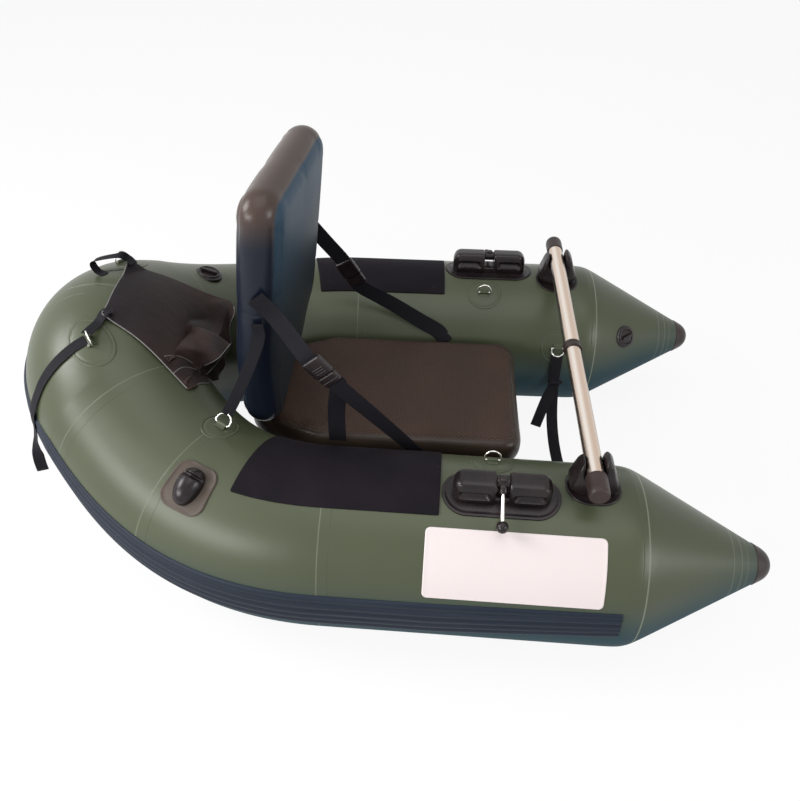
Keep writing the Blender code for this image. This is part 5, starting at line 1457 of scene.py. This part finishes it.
class BoatSeatLooks(bpy.types.PropertyGroup):
    """Colours and stitching of the seat and backrest."""

    top_colour: FloatVectorProperty(
        name="Seat top", description="Woven top panel of the seat", default=(0.066, 0.040, 0.029), **COLOUR
    )
    border_colour: FloatVectorProperty(
        name="Seat border", description="Smooth border of the seat", default=(0.034, 0.023, 0.017), **COLOUR
    )
    back_colour: FloatVectorProperty(
        name="Backrest colour", description="Skin of the backrest", default=(0.006, 0.009, 0.018), **COLOUR
    )
    weave_pitch: FloatProperty(
        name="Weave pitch", description="Distance between the seat's diamonds", unit="LENGTH", min=0.002, max=0.03,
        default=0.006,
    )
    seam_inset: FloatProperty(
        name="Seam inset", description="How far the top panel's seam lies inside the edge", unit="LENGTH",
        min=0.01, max=0.08, default=0.026,
    )
    pressure: FloatProperty(name="Air", description="Pressure in the pads", min=0.5, max=10, default=4)


class BoatClothLooks(bpy.types.PropertyGroup):
    """Colours and folds of the cover and straps."""

    cover_colour: FloatVectorProperty(
        name="Cover colour", description="Coated nylon of the cover", default=(0.014, 0.0105, 0.013), **COLOUR
    )
    cover_wear_colour: FloatVectorProperty(
        name="Cover, stretched", description="Cover where it is stretched thin", default=(0.050, 0.030, 0.023),
        **COLOUR
    )
    webbing_colour: FloatVectorProperty(
        name="Webbing colour", description="Straps", default=(0.009, 0.0085, 0.011), **COLOUR
    )
    fold_height: FloatProperty(
        name="Cover folds", description="Height of the cover's folds", unit="LENGTH", min=0, max=0.01, default=0.005,
    )


class BoatStageLooks(bpy.types.PropertyGroup):
    """Floor, lamps and camera."""

    floor_colour: FloatVectorProperty(
        name="Floor colour", description="Plain floor", default=(0.86, 0.86, 0.86), **COLOUR
    )
    sky_level: FloatProperty(name="Soft light", description="Strength of the even light", min=0, max=2, default=0.38)
    lamp_level: FloatProperty(name="Lamps", description="Share of the lamps' power", min=0, max=5, default=1)
    lens: FloatProperty(name="Lens", description="Focal length", unit="CAMERA", min=10, max=200, default=35.5)


class BoatOperator:
    """What the operators share."""

    bl_options = {"REGISTER", "UNDO"}


class BOAT_OT_tubes(BoatOperator, bpy.types.Operator):
    """Make the two air tubes, their cones and their nose caps"""

    bl_idname = "boat.tubes"
    bl_label = "Air tubes"

    def execute(self, context):
        for name, side in SIDES.items():
            form = Form().add(*tube_grid(side))
            form.make(name + "_tube_skin", coated_fabric, "hull", [name + "_tube"], "hull_skin", 0)
            form = Form().add(*cone_grid(side))
            form.make(name + "_cone_skin", cone_fabric, "hull", [name + "_cone"], "hull_skin", 0)
            form = Form().add(nose_grid(side))
            form.make(name + "_nose", moulded_rubber, "hull", [name + "_nose_cap"], "black_rubber", 50)
        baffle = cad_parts["chamber_baffle"].data.materials
        baffle.clear()
        baffle.append(finish(coated_fabric))
        return {"FINISHED"}


class BOAT_OT_strake(BoatOperator, bpy.types.Operator):
    """Make the ribbed rubbing strake"""

    bl_idname = "boat.strake"
    bl_label = "Rubbing strake"

    def execute(self, context):
        form = Form().add(strake_grid(context.scene.boat_hull.strake_ribs))
        form.make("strake", strake_rubber, "hull", ["rubbing_strake"], "strake_rubber", 55)
        return {"FINISHED"}


class BOAT_OT_pads(BoatOperator, bpy.types.Operator):
    """Make the wear pads and the side panels"""

    bl_idname = "boat.pads"
    bl_label = "Wear pads and panels"

    def execute(self, context):
        pads = {"starboard": (0.296, 0.70, -50, 23), "port": (0.296, 0.645, -26, 25)}
        for name, side in SIDES.items():
            front, rear, low, high = pads[name]
            half_width = TUBE_RADIUS * math.radians(high - low) / 2
            sizes = ((rear - front) / 2, half_width, 0.003)
            steps = [(0, -0.0004), (0, 0.0022), (0.0006, 0.0030), (0.0018, 0.0032), (0.006, 0.0032)]
            grid = patch(side, (front + rear) / 2, (low + high) / 2, sizes, steps, 360, 40)
            Form().add(grid).make(name + "_pad", wear_foam, "hull", [name + "_wear_pad"], "wear_foam")
            steps = [(0, -0.0004), (0, 0.0008), (0.0005, 0.0013), (0.0015, 0.0015), (0.003, 0.0015), (0.005, 0.0012)]
            grid = patch(side, 0.145, 51.25, (0.175, 0.0705, 0.010), steps, 240, 30)
            Form().add(grid).make(name + "_panel", pale_sheet, "hull", [name + "_side_panel"], "pale_panel")
        return {"FINISHED"}


class BOAT_OT_handles(BoatOperator, bpy.types.Operator):
    """Make the carry handles"""

    bl_idname = "boat.handles"
    bl_label = "Carry handles"

    def execute(self, context):
        for name, side in SIDES.items():
            steps = [(0, -0.0006), (0, 0.0016), (0.0008, 0.0030), (0.0028, 0.0034), (0.0044, 0.0024), (0.010, 0.0022)]
            form = Form().add(patch(side, HANDLE_AFT, HANDLE_ANGLE, (0.048, 0.052, 0.028), steps, 160, 16))
            form.make(name + "_handle_patch", patch_rubber, "hull", [name + "_handle"], "black_rubber", 60)
            grip = egg_grid() * [1, -side, 1] + [0.0, 0, 0.0005]
            form = Form().add(put(seat_on_hull(side, HANDLE_AFT, HANDLE_ANGLE), grip))
            form.make(name + "_handle_grip", glossy_plastic, "hull", [name + "_handle"], "black_rubber", 60)
        return {"FINISHED"}


class BOAT_OT_valves(BoatOperator, bpy.types.Operator):
    """Make the air valves with their screw caps, and the cushions' push valves"""

    bl_idname = "boat.valves"
    bl_label = "Valves"

    def execute(self, context):
        main = seat_on_hull(1, 1.004, -6, FLAT_LIFT + 0.0008) @ turning("Z", -40)
        axis = unit([1, TOE_OUT, 0])
        angle = math.radians(BOW_VALVE_ANGLE)
        radial = math.sin(angle) * np.array([-axis[1], axis[0], 0]) + math.cos(angle) * np.array([0, 0, 1])
        slope = (TUBE_RADIUS - TIP_RADIUS) / (TIP_REACH - SEAM_REACH)
        away = unit(radial + slope * axis)
        beyond = 0.101
        seat = arm_line(SEAM_REACH + beyond) + (TUBE_RADIUS - slope * beyond) * radial
        bow = frame_of(seat + GAP * away, axis - axis @ away * away, away) @ turning("Z", 25)
        for name, place, radius in (("port_main_valve", main, 0.034), ("port_bow_valve", bow, 0.030)):
            form = Form().add(put(place, valve_body(radius)))
            form.make(name + "_flange", glossy_plastic, "hull", [name], "black_plastic")
            form = Form().gather(put(place, grid) for grid in cap_grids(radius))
            form.make(name + "_plug", glossy_plastic, name + "_cap", [name + "_cap"], "black_plastic")
        rear = frame_of((BAR_X - SEAT_REAR - GAP, 0, SEAT_TOP - SEAT_THICKNESS / 2), (0, 1, 0), (-1, 0, 0))
        form = Form().gather(put(rear, grid) for grid in pad_valve_grids())
        form.make("seat_valve_stopper", glossy_plastic, "hull", ["seat_valve"], "black_plastic")
        back = back_frame()
        behind = frame_of(at(back, 0.09, 0.11, -BACK_THICKNESS / 2 - GAP), (0, 1, 0), -back[:3, 2])
        form = Form().gather(twisted(put(behind, grid)) for grid in pad_valve_grids())
        form.make("backrest_valve_stopper", glossy_plastic, "backrest", ["backrest_valve"], "black_plastic")
        return {"FINISHED"}


class BOAT_OT_rings(BoatOperator, bpy.types.Operator):
    """Make the D-rings, their keepers and their patches"""

    bl_idname = "boat.rings"
    bl_label = "D-rings"

    def execute(self, context):
        radius = context.scene.boat_fittings.wire_radius
        steps = [(0, -0.0004), (0, 0.0004), (0.0008, 0.0012), (0.0040, 0.0013), (0.0052, 0.0007), (0.0066, 0.0007),
                 (0.0078, 0.0013), (0.012, 0.0014)]
        for name, (side, aft, angle, _) in RING_PLACES.items():
            form = Form().add(patch(side, aft, angle, [RING_PATCH_RADIUS] * 3, steps, 120, 12))
            form.add(put(ring_frame(name), keeper_grid()))
            form.make(name + "_ring_patch", coated_fabric, "hull", [name + "_ring_tab"], "ring_patch", 45)
            path = put(tilted(name), np.insert(ring_path(), 1, 0, 1))
            form = Form().add(wire(path, radius, tilted(name)[:3, 1], True), "loop")
            form.make(name + "_d_ring", bright_steel, name + "_ring", [name + "_ring"], "ring_steel")
        return {"FINISHED"}


class BOAT_OT_oarlocks(BoatOperator, bpy.types.Operator):
    """Make the oarlocks and their rowing pins"""

    bl_idname = "boat.oarlocks"
    bl_label = "Oarlocks"

    def execute(self, context):
        for name, side in SIDES.items():
            place = seat_on_hull(side, OARLOCK_AFT, OARLOCK_ANGLE)
            steps = [(0, -0.0008), (0, 0.0016), (0.0008, 0.0032), (0.0034, 0.0036), (0.0056, 0.0034), (0.0076, 0.0022),
                     (0.012, 0.0022)]
            form = Form().add(patch(side, OARLOCK_AFT, OARLOCK_ANGLE, (0.118, 0.052, 0.050), steps, 220, 16))
            floor = brick((0.0175, 0.0235, 0.0095), 6, 0.2) + [0, 0, 0.006]
            form.gather(put(place, grid) for grid in (oarlock_block(-1), oarlock_block(1), floor))
            form.make(name + "_oarlock_body", glossy_plastic, "hull", [name + "_oarlock"], "black_plastic", 50)
            self.pin(name, side, place)
        return {"FINISHED"}

    def pin(self, name, side, place):
        """The hub between the blocks, and the pin that stands out from it with a ball on its end."""
        hub = place @ shifted(0, 0, HUB_HEIGHT)
        drop = math.radians(PIN_DROP)
        out = np.array([0, side * math.cos(drop), -math.sin(drop)])
        stem = frame_of(hub[:3, 3], hub[:3, 0], out)
        lying = frame_of(hub[:3, 3], hub[:3, 1], hub[:3, 0])
        turn = np.linspace(0.05, math.pi - 0.05, 40)
        radius = 0.012
        collar = 0.0016 * bell(turn, 2.55, 0.22)
        ball = np.column_stack([(radius + collar) * np.sin(turn), PIN_LENGTH + radius * np.cos(turn)])
        drum = [(0.002, -0.0125), (0.0105, -0.0125), (0.0112, -0.0118), (0.0112, 0.0118), (0.0105, 0.0125),
                (0.002, 0.0125)]
        axle = [(0.001, -0.019), (0.004, -0.019), (0.004, 0.019), (0.001, 0.019)]
        boss = [(0.001, 0.006), (0.0095, 0.006), (0.0102, 0.012), (0.0082, 0.021), (0.0066, 0.0235), (0.003, 0.0240)]
        cap = [(0.001, 0.0085), (0.0075, 0.0085), (0.0082, 0.0125), (0.0065, 0.0155), (0.001, 0.0160)]
        shells = ((lying, soften(drum, 0.0012), 56), (lying, soften(axle, 0.0005), 32),
                  (stem, soften(boss, 0.0015), 48), (stem, ball, 48), (hub, soften(cap, 0.002), 48))
        form = Form().gather(put(where, turned(profile, count)) for where, profile, count in shells)
        body = name + "_oarlock_pin"
        form.make(name + "_pin_hub", glossy_plastic, body, [body], "black_plastic")
        shank = [(0.001, 0.016), (0.004, 0.016), (0.004, PIN_LENGTH - 0.009), (0.001, PIN_LENGTH - 0.009)]
        form = Form().add(put(stem, turned(soften(shank, 0.0004), 40)))
        form.make(name + "_pin_shank", bright_steel, body, [body], "bar_metal")


class BOAT_OT_bar(BoatOperator, bpy.types.Operator):
    """Make the telescoping bar, its collar and its end caps"""

    bl_idname = "boat.bar"
    bl_label = "Bar"

    def execute(self, context):
        across = frame_of((BAR_X, 0, BAR_HEIGHT), (0, 0, 1), (0, 1, 0))
        pipes = (
            ("bar_outer", BAR_RADIUS, 0.0, BAR_END, "bar", "bar_outer_tube"),
            ("bar_inner", BAR_INNER_RADIUS, -BAR_END, 0.11, "bar_end", "bar_inner_tube"),
        )
        for name, radius, low, high, body, node in pipes:
            steps = np.linspace(low, high, 40)
            inner, bevel = radius - BAR_WALL, radius - 0.0003
            profile = [(inner, low), (bevel, low), *((radius, step) for step in steps), (bevel, high), (inner, high)]
            profile += [(inner, step) for step in steps[::-1][1:-1]]
            form = Form().add(put(across, turned(profile, 72)), "loop")
            form.make(name, anodised_bar, body, [node], "bar_metal")
        inner_bore, outer_bore = BAR_INNER_RADIUS + GAP, BAR_RADIUS + GAP
        collar = [(inner_bore, -0.0203), (0.0203, -0.0203), (0.0215, -0.0190), (0.0215, -0.0142), (0.0206, -0.0136),
                  (0.0206, -0.0070), (0.0215, -0.0064), (0.0215, -0.0016), (0.0203, -GAP), (outer_bore, -GAP)]
        collar = np.concatenate([soften(collar, 0.0006), [(inner_bore, -0.0020)]])
        form = Form().add(put(across, turned(collar, 72)), "loop")
        form.make("bar_ring", moulded_rubber, "bar_collar", ["bar_collar"], "black_plastic")
        for name, side, body, bore in (("port", 1, "bar", outer_bore), ("starboard", -1, "bar_end", inner_bore)):
            profile = [(bore, 0.4162), (0.0200, 0.4160), (0.02125, 0.4175), (0.02125, 0.4580), (0.0200, 0.4650),
                       (0.0165, 0.4678), (0.0100, 0.4672), (0.001, 0.4672)]
            inner = [(0.001, 0.4642), (bore, 0.4642)]
            grid = turned(np.concatenate([inner, soften(profile, 0.0016, 5)]), 72)
            form = Form().add(put(across, grid * [1, side, side]))
            form.make(name + "_end_cap", moulded_rubber, body, [name + "_bar_cap"], "black_rubber")
        return {"FINISHED"}


class BOAT_OT_cradles(BoatOperator, bpy.types.Operator):
    """Make the cradles that hold the bar"""

    bl_idname = "boat.cradles"
    bl_label = "Bar cradles"

    def execute(self, context):
        steps = [(0, -0.0006), (0, 0.0018), (0.0008, 0.0034), (0.0030, 0.0037), (0.0050, 0.0024), (0.010, 0.0022)]
        for name, radius in (("starboard", BAR_INNER_RADIUS), ("port", BAR_RADIUS)):
            side = SIDES[name]
            form = Form().add(patch(side, CRADLE_AFT, CRADLE_ANGLE, (0.056, 0.050, 0.045), steps, 160, 14))
            form.add(cradle_grid(side, radius))
            form.make(name + "_cradle", glossy_plastic, "hull", [name + "_bar_cradle"], "black_rubber", 60)
        return {"FINISHED"}


class BOAT_OT_seat(BoatOperator, bpy.types.Operator):
    """Make the seat cushion and its sling"""

    bl_idname = "boat.seat"
    bl_label = "Seat"

    def execute(self, context):
        looks = context.scene.boat_seat
        half_length = (SEAT_REAR - SEAT_FRONT) / 2
        centre = np.array([BAR_X - SEAT_MIDDLE, 0, SEAT_TOP - SEAT_THICKNESS / 2])
        grid = pad_grid(half_length - 0.002, SEAT_HALF_WIDTH - 0.002, SEAT_THICKNESS - 0.010, 0.052, 0.002, 3.0)
        grid[..., 1] *= seat_share(grid[..., 0])
        seat = Form().add(grid).make("seat_pad", seat_fabric, "hull", ["seat_cushion"], "cushion_fabric", 0)
        seat.parent = None
        points = air_up(seat, looks.pressure, 0.006)
        x = np.clip(points[:, 0], -half_length - 0.001, half_length + 0.002)
        y = np.clip(points[:, 1], -SEAT_HALF_WIDTH - 0.001, SEAT_HALF_WIDTH + 0.001)
        inset = looks.seam_inset
        inside = edge_distance(x, y / seat_share(x), half_length, SEAT_HALF_WIDTH, 0.055)
        top = points[:, 2] > 0.012
        relief = 0.0008 * bell(inside, inset - 0.0055, 0.0022) - 0.0032 * bell(inside, inset, 0.0030)
        limit = SEAT_THICKNESS / 2 + 0.002 * np.clip(inside / 0.1, 0, 1)
        z = np.where(top, np.minimum(points[:, 2], limit) + relief, points[:, 2])
        x += 0.010 * np.clip(x / half_length, 0, 1)
        y += 0.008 * np.clip(y / SEAT_HALF_WIDTH, 0, 1)
        points = np.stack([x, y, np.maximum(z, -SEAT_THICKNESS / 2)], -1)
        shape_pad(seat, points + centre, eased(inset - 0.001, inset + 0.001, inside) * top)
        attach(seat, "hull")
        form = Form().add(sling_grid(), "zip")
        sling = form.make("seat_sling_sheet", cover_cloth, "hull", ["seat_sling"], "sling_sheet", 0)
        return {"FINISHED"}


class BOAT_OT_backrest(BoatOperator, bpy.types.Operator):
    """Make the folding backrest"""

    bl_idname = "boat.backrest"
    bl_label = "Backrest"

    def execute(self, context):
        looks = context.scene.boat_seat
        half = BACK_HEIGHT / 2
        middle = back_frame() @ shifted(half - BACK_THICKNESS / 2, 0, 0)
        grid = pad_grid(half - 0.002, BACK_HALF_WIDTH - 0.002, BACK_THICKNESS - 0.008, 0.054, 0.002)
        back = Form().add(grid).make("back_pad", back_fabric, "backrest", ["backrest"], "cushion_fabric", 0)
        back.parent = None
        points = air_up(back, looks.pressure, 0.004)
        x, y, z = points.T
        inside = edge_distance(x, y, half, BACK_HALF_WIDTH, 0.056)
        panel = eased(0.022, 0.026, inside) * (z > 0.015)
        z = z - np.sign(z) * 0.0022 * bell(inside, 0.024, 0.0028) * (np.abs(z) > 0.015)
        bands = bell(x, 0.022, 0.0020) + bell(x, 0.032, 0.0020)
        y = np.clip(y * (1 - 0.005 * bands * (inside < 0.02)), -BACK_HALF_WIDTH, BACK_HALF_WIDTH)
        x = np.maximum(x, -half + 0.0005)
        crown = 0.003 * eased(-0.20, -0.05, x) - 0.003 * eased(0.08, 0.18, -x)
        z = np.clip(z, -BACK_THICKNESS / 2 - 0.001, BACK_THICKNESS / 2 + crown)
        shape_pad(back, twisted(put(middle, np.stack([x, y, z], -1))), panel)
        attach(back, "backrest")
        return {"FINISHED"}


class BOAT_OT_straps(BoatOperator, bpy.types.Operator):
    """Make the webbing straps and the buckles"""

    bl_idname = "boat.straps"
    bl_label = "Straps and buckles"

    def execute(self, context):
        for name in SIDES:
            place = buckle_frame(name)
            form = Form().add(upper_strap_grid(name))
            upper = form.make(name + "_upper_webbing", webbing, None, [name + "_upper_strap"], "webbing", 60)
            at(place, SOCKET_TOP, 0, 0)
            side_anchor(name)
            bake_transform(upper)
            lower = Form().add(lower_strap_grid(name))
            if name == "starboard":
                lower.add(tail_grid())
            lower = lower.make(name + "_lower_webbing", webbing, None, [name + "_lower_strap"], "webbing", 60)
            strap_foot(name)[0]
            at(place, -0.03, 0, 0)
            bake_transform(lower)
            self.buckle(name, place)
        form = Form().add(rear_strap_grid())
        rear = form.make("rear_webbing", webbing, None, ["starboard_rear_strap"], "webbing", 60)
        ring_apex("starboard_side", 0)
        at(back_frame(), 0.222, 0.2, 0)
        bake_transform(rear)
        form = Form().add(front_strap_grid()).gather(front_tail_grids())
        form.make("front_webbing", webbing, "hull", ["front_strap"], "webbing", 60)
        Form().add(stern_strap_grid()).make("stern_webbing", webbing, "hull", ["stern_strap"], "webbing", 60)
        return {"FINISHED"}

    def buckle(self, name, place):
        """A socket with a ridged thumb face, and a plug whose tongue slides into it."""
        socket = [brick((0.024, 0.023, 0.0065), 6, 0.35) + [0.024, 0, 0]]
        ridge = brick((0.0014, 0.014, 0.0012), 3, 0.5, 16, 24)
        socket += [ridge + [reach, 0, 0.0068] for reach in (0.012, 0.018, 0.024)]
        form = Form().gather(put(place, grid) for grid in socket)
        form.make(name + "_socket", glossy_plastic, "hull", [name + "_buckle_socket"], "black_plastic")
        plug = (brick((0.0130, 0.022, 0.0055), 6, 0.35) + [-0.0133, 0, 0],
                brick((0.019, 0.016, 0.003), 5, 0.4) + [0.011, 0, 0],
                brick((0.0016, 0.021, 0.0012), 3, 0.5, 16, 24) + [-0.016, 0, 0.0058])
        form = Form().gather(put(place, grid) for grid in plug)
        body = name + "_buckle_plug"
        form.make(name + "_plug", glossy_plastic, body, [body], "black_plastic")


class BOAT_OT_cover(BoatOperator, bpy.types.Operator):
    """Make the cargo cover"""

    bl_idname = "boat.cover"
    bl_label = "Cargo cover"

    def execute(self, context):
        grid, top = cover_grid()
        cover = Form().add(grid, "zip").make("cover_sheet", cover_cloth, "hull", ["cargo_cover"], "cover_fabric", 0)
        edges = [top[:90, -1], top[-1], top[0]]
        for number, hem in enumerate(HEMS):
            grid, edge, flat = frill_grid(*hem)
            name = "cover_frill_" + "ab"[number]
            frill = Form().add(grid, "zip").make(name, cover_cloth, "hull", ["cargo_cover"], "cover_fabric", 0)
            edges.append(edge)
        form = Form().gather(wire(through(path[::3], 80), 0.0015, (0, 0, 1), count=10) for path in edges)
        form.make("cover_piping", piping_cloth, "hull", ["cargo_cover"], "cover_fabric")
        form = Form().gather(cover_strap_grids())
        form.make("cover_tethers", webbing, "hull", ["cargo_cover"], "webbing", 60)
        return {"FINISHED"}


class BOAT_OT_stage(BoatOperator, bpy.types.Operator):
    """Make the floor, the lamps, the sky and the camera"""

    bl_idname = "boat.stage"
    bl_label = "Stage"

    def execute(self, context):
        looks = context.scene.boat_stage
        self.camera(context, looks)
        self.floor(looks)
        self.sky(context, looks)
        lamps = (
            ("Top", (0.3, -0.6, 3.6), (0, 0, 0.3), 2.6, 2.6, 30),
            ("Rear left", (-3.05, -0.4, 2.5), (-0.6, -0.15, 0.45), 1.7, 1.4, 98),
            ("Front left", (-2.3, -2.3, 1.35), (-0.35, -0.45, 0.3), 2.0, 0.8, 63),
            ("Front right", (3.1, -1.8, 1.5), (0.6, -0.3, 0.3), 1.4, 1.2, 39),
        )
        for name, spot, target, width, height, power in lamps:
            lamp = bpy.data.lights.new(name, "AREA")
            lamp.shape = "RECTANGLE"
            lamp.size, lamp.size_y = width, height
            lamp.energy = power * looks.lamp_level
            away = np.subtract(spot, target)
            placed(name, lamp, frame_of(spot, np.cross((0, 0, 1), away) + [1e-6, 0, 0], away))
        return {"FINISHED"}

    def camera(self, context, looks):
        data = bpy.data.cameras.new("Camera")
        data.sensor_width = 36
        data.lens = looks.lens
        data.shift_x, data.shift_y = CAMERA_SHIFT
        data.clip_end = 60
        place = framed(CAMERA_RIGHT, CAMERA_UP, np.negative(CAMERA_AHEAD), CAMERA_AT)
        context.scene.camera = placed("Camera", data, place)

    def floor(self, looks):
        mesh = bpy.data.meshes.new("Floor")
        signs = ((-1, -1), (1, -1), (1, 1), (-1, 1))
        corners = [(x * FLOOR_REACH, y * FLOOR_REACH, FLOOR_HEIGHT) for x, y in signs]
        mesh.from_pydata(corners, [], [(0, 1, 2, 3)])
        floor = placed("Floor", mesh)
        made = Finish("floor", tuple(looks.floor_colour), 0.8)
        output = made.tree.nodes["Material Output"]
        self.whiten(made, made.shader, "ShaderNodeEmission", FLOOR_GLOW, output)
        mesh.materials.append(made.material)

    def whiten(self, made, shader, kind, share, output):
        """Feeds an output a shader, and in its place plain white for this share of what the camera sees, in gloss
        and through glass too."""
        path = made.node("ShaderNodeLightPath")
        rays = [Value(made, path.outputs[name]) for name in ("Is Camera Ray", "Is Glossy Ray", "Is Transmission Ray")]
        seen = rays[0].math("MAXIMUM", rays[1]).math("MAXIMUM", rays[2])
        white = made.node(kind, (), {0: (1, 1, 1, 1), 1: 1.0})
        blend = made.node("ShaderNodeMixShader", (), {0: seen * share, 1: shader.outputs[0], 2: white.outputs[0]})
        made.join(output.inputs[0], blend.outputs[0])

    def sky(self, context, looks):
        world = bpy.data.worlds.new("Sky")
        context.scene.world = world
        world.use_nodes = True
        world.node_tree.nodes.clear()
        made = Finish.__new__(Finish)
        made.tree = world.node_tree
        light = made.node("ShaderNodeBackground", (), {0: (1, 1, 1, 1), 1: looks.sky_level})
        self.whiten(made, light, "ShaderNodeBackground", 1.0, made.node("ShaderNodeOutputWorld"))
        context.scene.view_settings.view_transform = "Standard"


OPERATORS = (
    BOAT_OT_stage,
    BOAT_OT_tubes,
    BOAT_OT_strake,
    BOAT_OT_pads,
    BOAT_OT_handles,
    BOAT_OT_valves,
    BOAT_OT_rings,
    BOAT_OT_oarlocks,
    BOAT_OT_bar,
    BOAT_OT_cradles,
    BOAT_OT_seat,
    BOAT_OT_backrest,
    BOAT_OT_straps,
    BOAT_OT_cover,
)
LOOKS = {
    "boat_hull": BoatHullLooks,
    "boat_fittings": BoatFittingLooks,
    "boat_seat": BoatSeatLooks,
    "boat_cloth": BoatClothLooks,
    "boat_stage": BoatStageLooks,
}


class BOAT_PT_sidebar(bpy.types.Panel):
    """Sizes, colours and pieces of the boat"""

    bl_label = "Inflatable boat"
    bl_idname = "BOAT_PT_sidebar"
    bl_space_type = "VIEW_3D"
    bl_region_type = "UI"
    bl_category = "Boat"

    def draw(self, context):
        for name, group in LOOKS.items():
            box = self.layout.box()
            looks = getattr(context.scene, name)
            for key in group.__annotations__:
                box.prop(looks, key)
        for operator in OPERATORS:
            self.layout.operator(operator.bl_idname)


def register():
    for name, group in LOOKS.items():
        bpy.utils.register_class(group)
        setattr(bpy.types.Scene, name, PointerProperty(type=group))
    for kind in (*OPERATORS, BOAT_PT_sidebar):
        bpy.utils.register_class(kind)


def unregister():
    for kind in (BOAT_PT_sidebar, *OPERATORS[::-1]):
        bpy.utils.unregister_class(kind)
    for name, group in LOOKS.items():
        delattr(bpy.types.Scene, name)
        bpy.utils.unregister_class(group)


def main():
    register()
    for name in ("Cube", "Light", "Camera"):
        if name in bpy.data.objects:
            bpy.data.objects.remove(bpy.data.objects[name])
    for operator in OPERATORS:
        group, call = operator.bl_idname.split(".")
        getattr(getattr(bpy.ops, group), call)()
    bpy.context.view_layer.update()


if __name__ == "__main__":
    main()
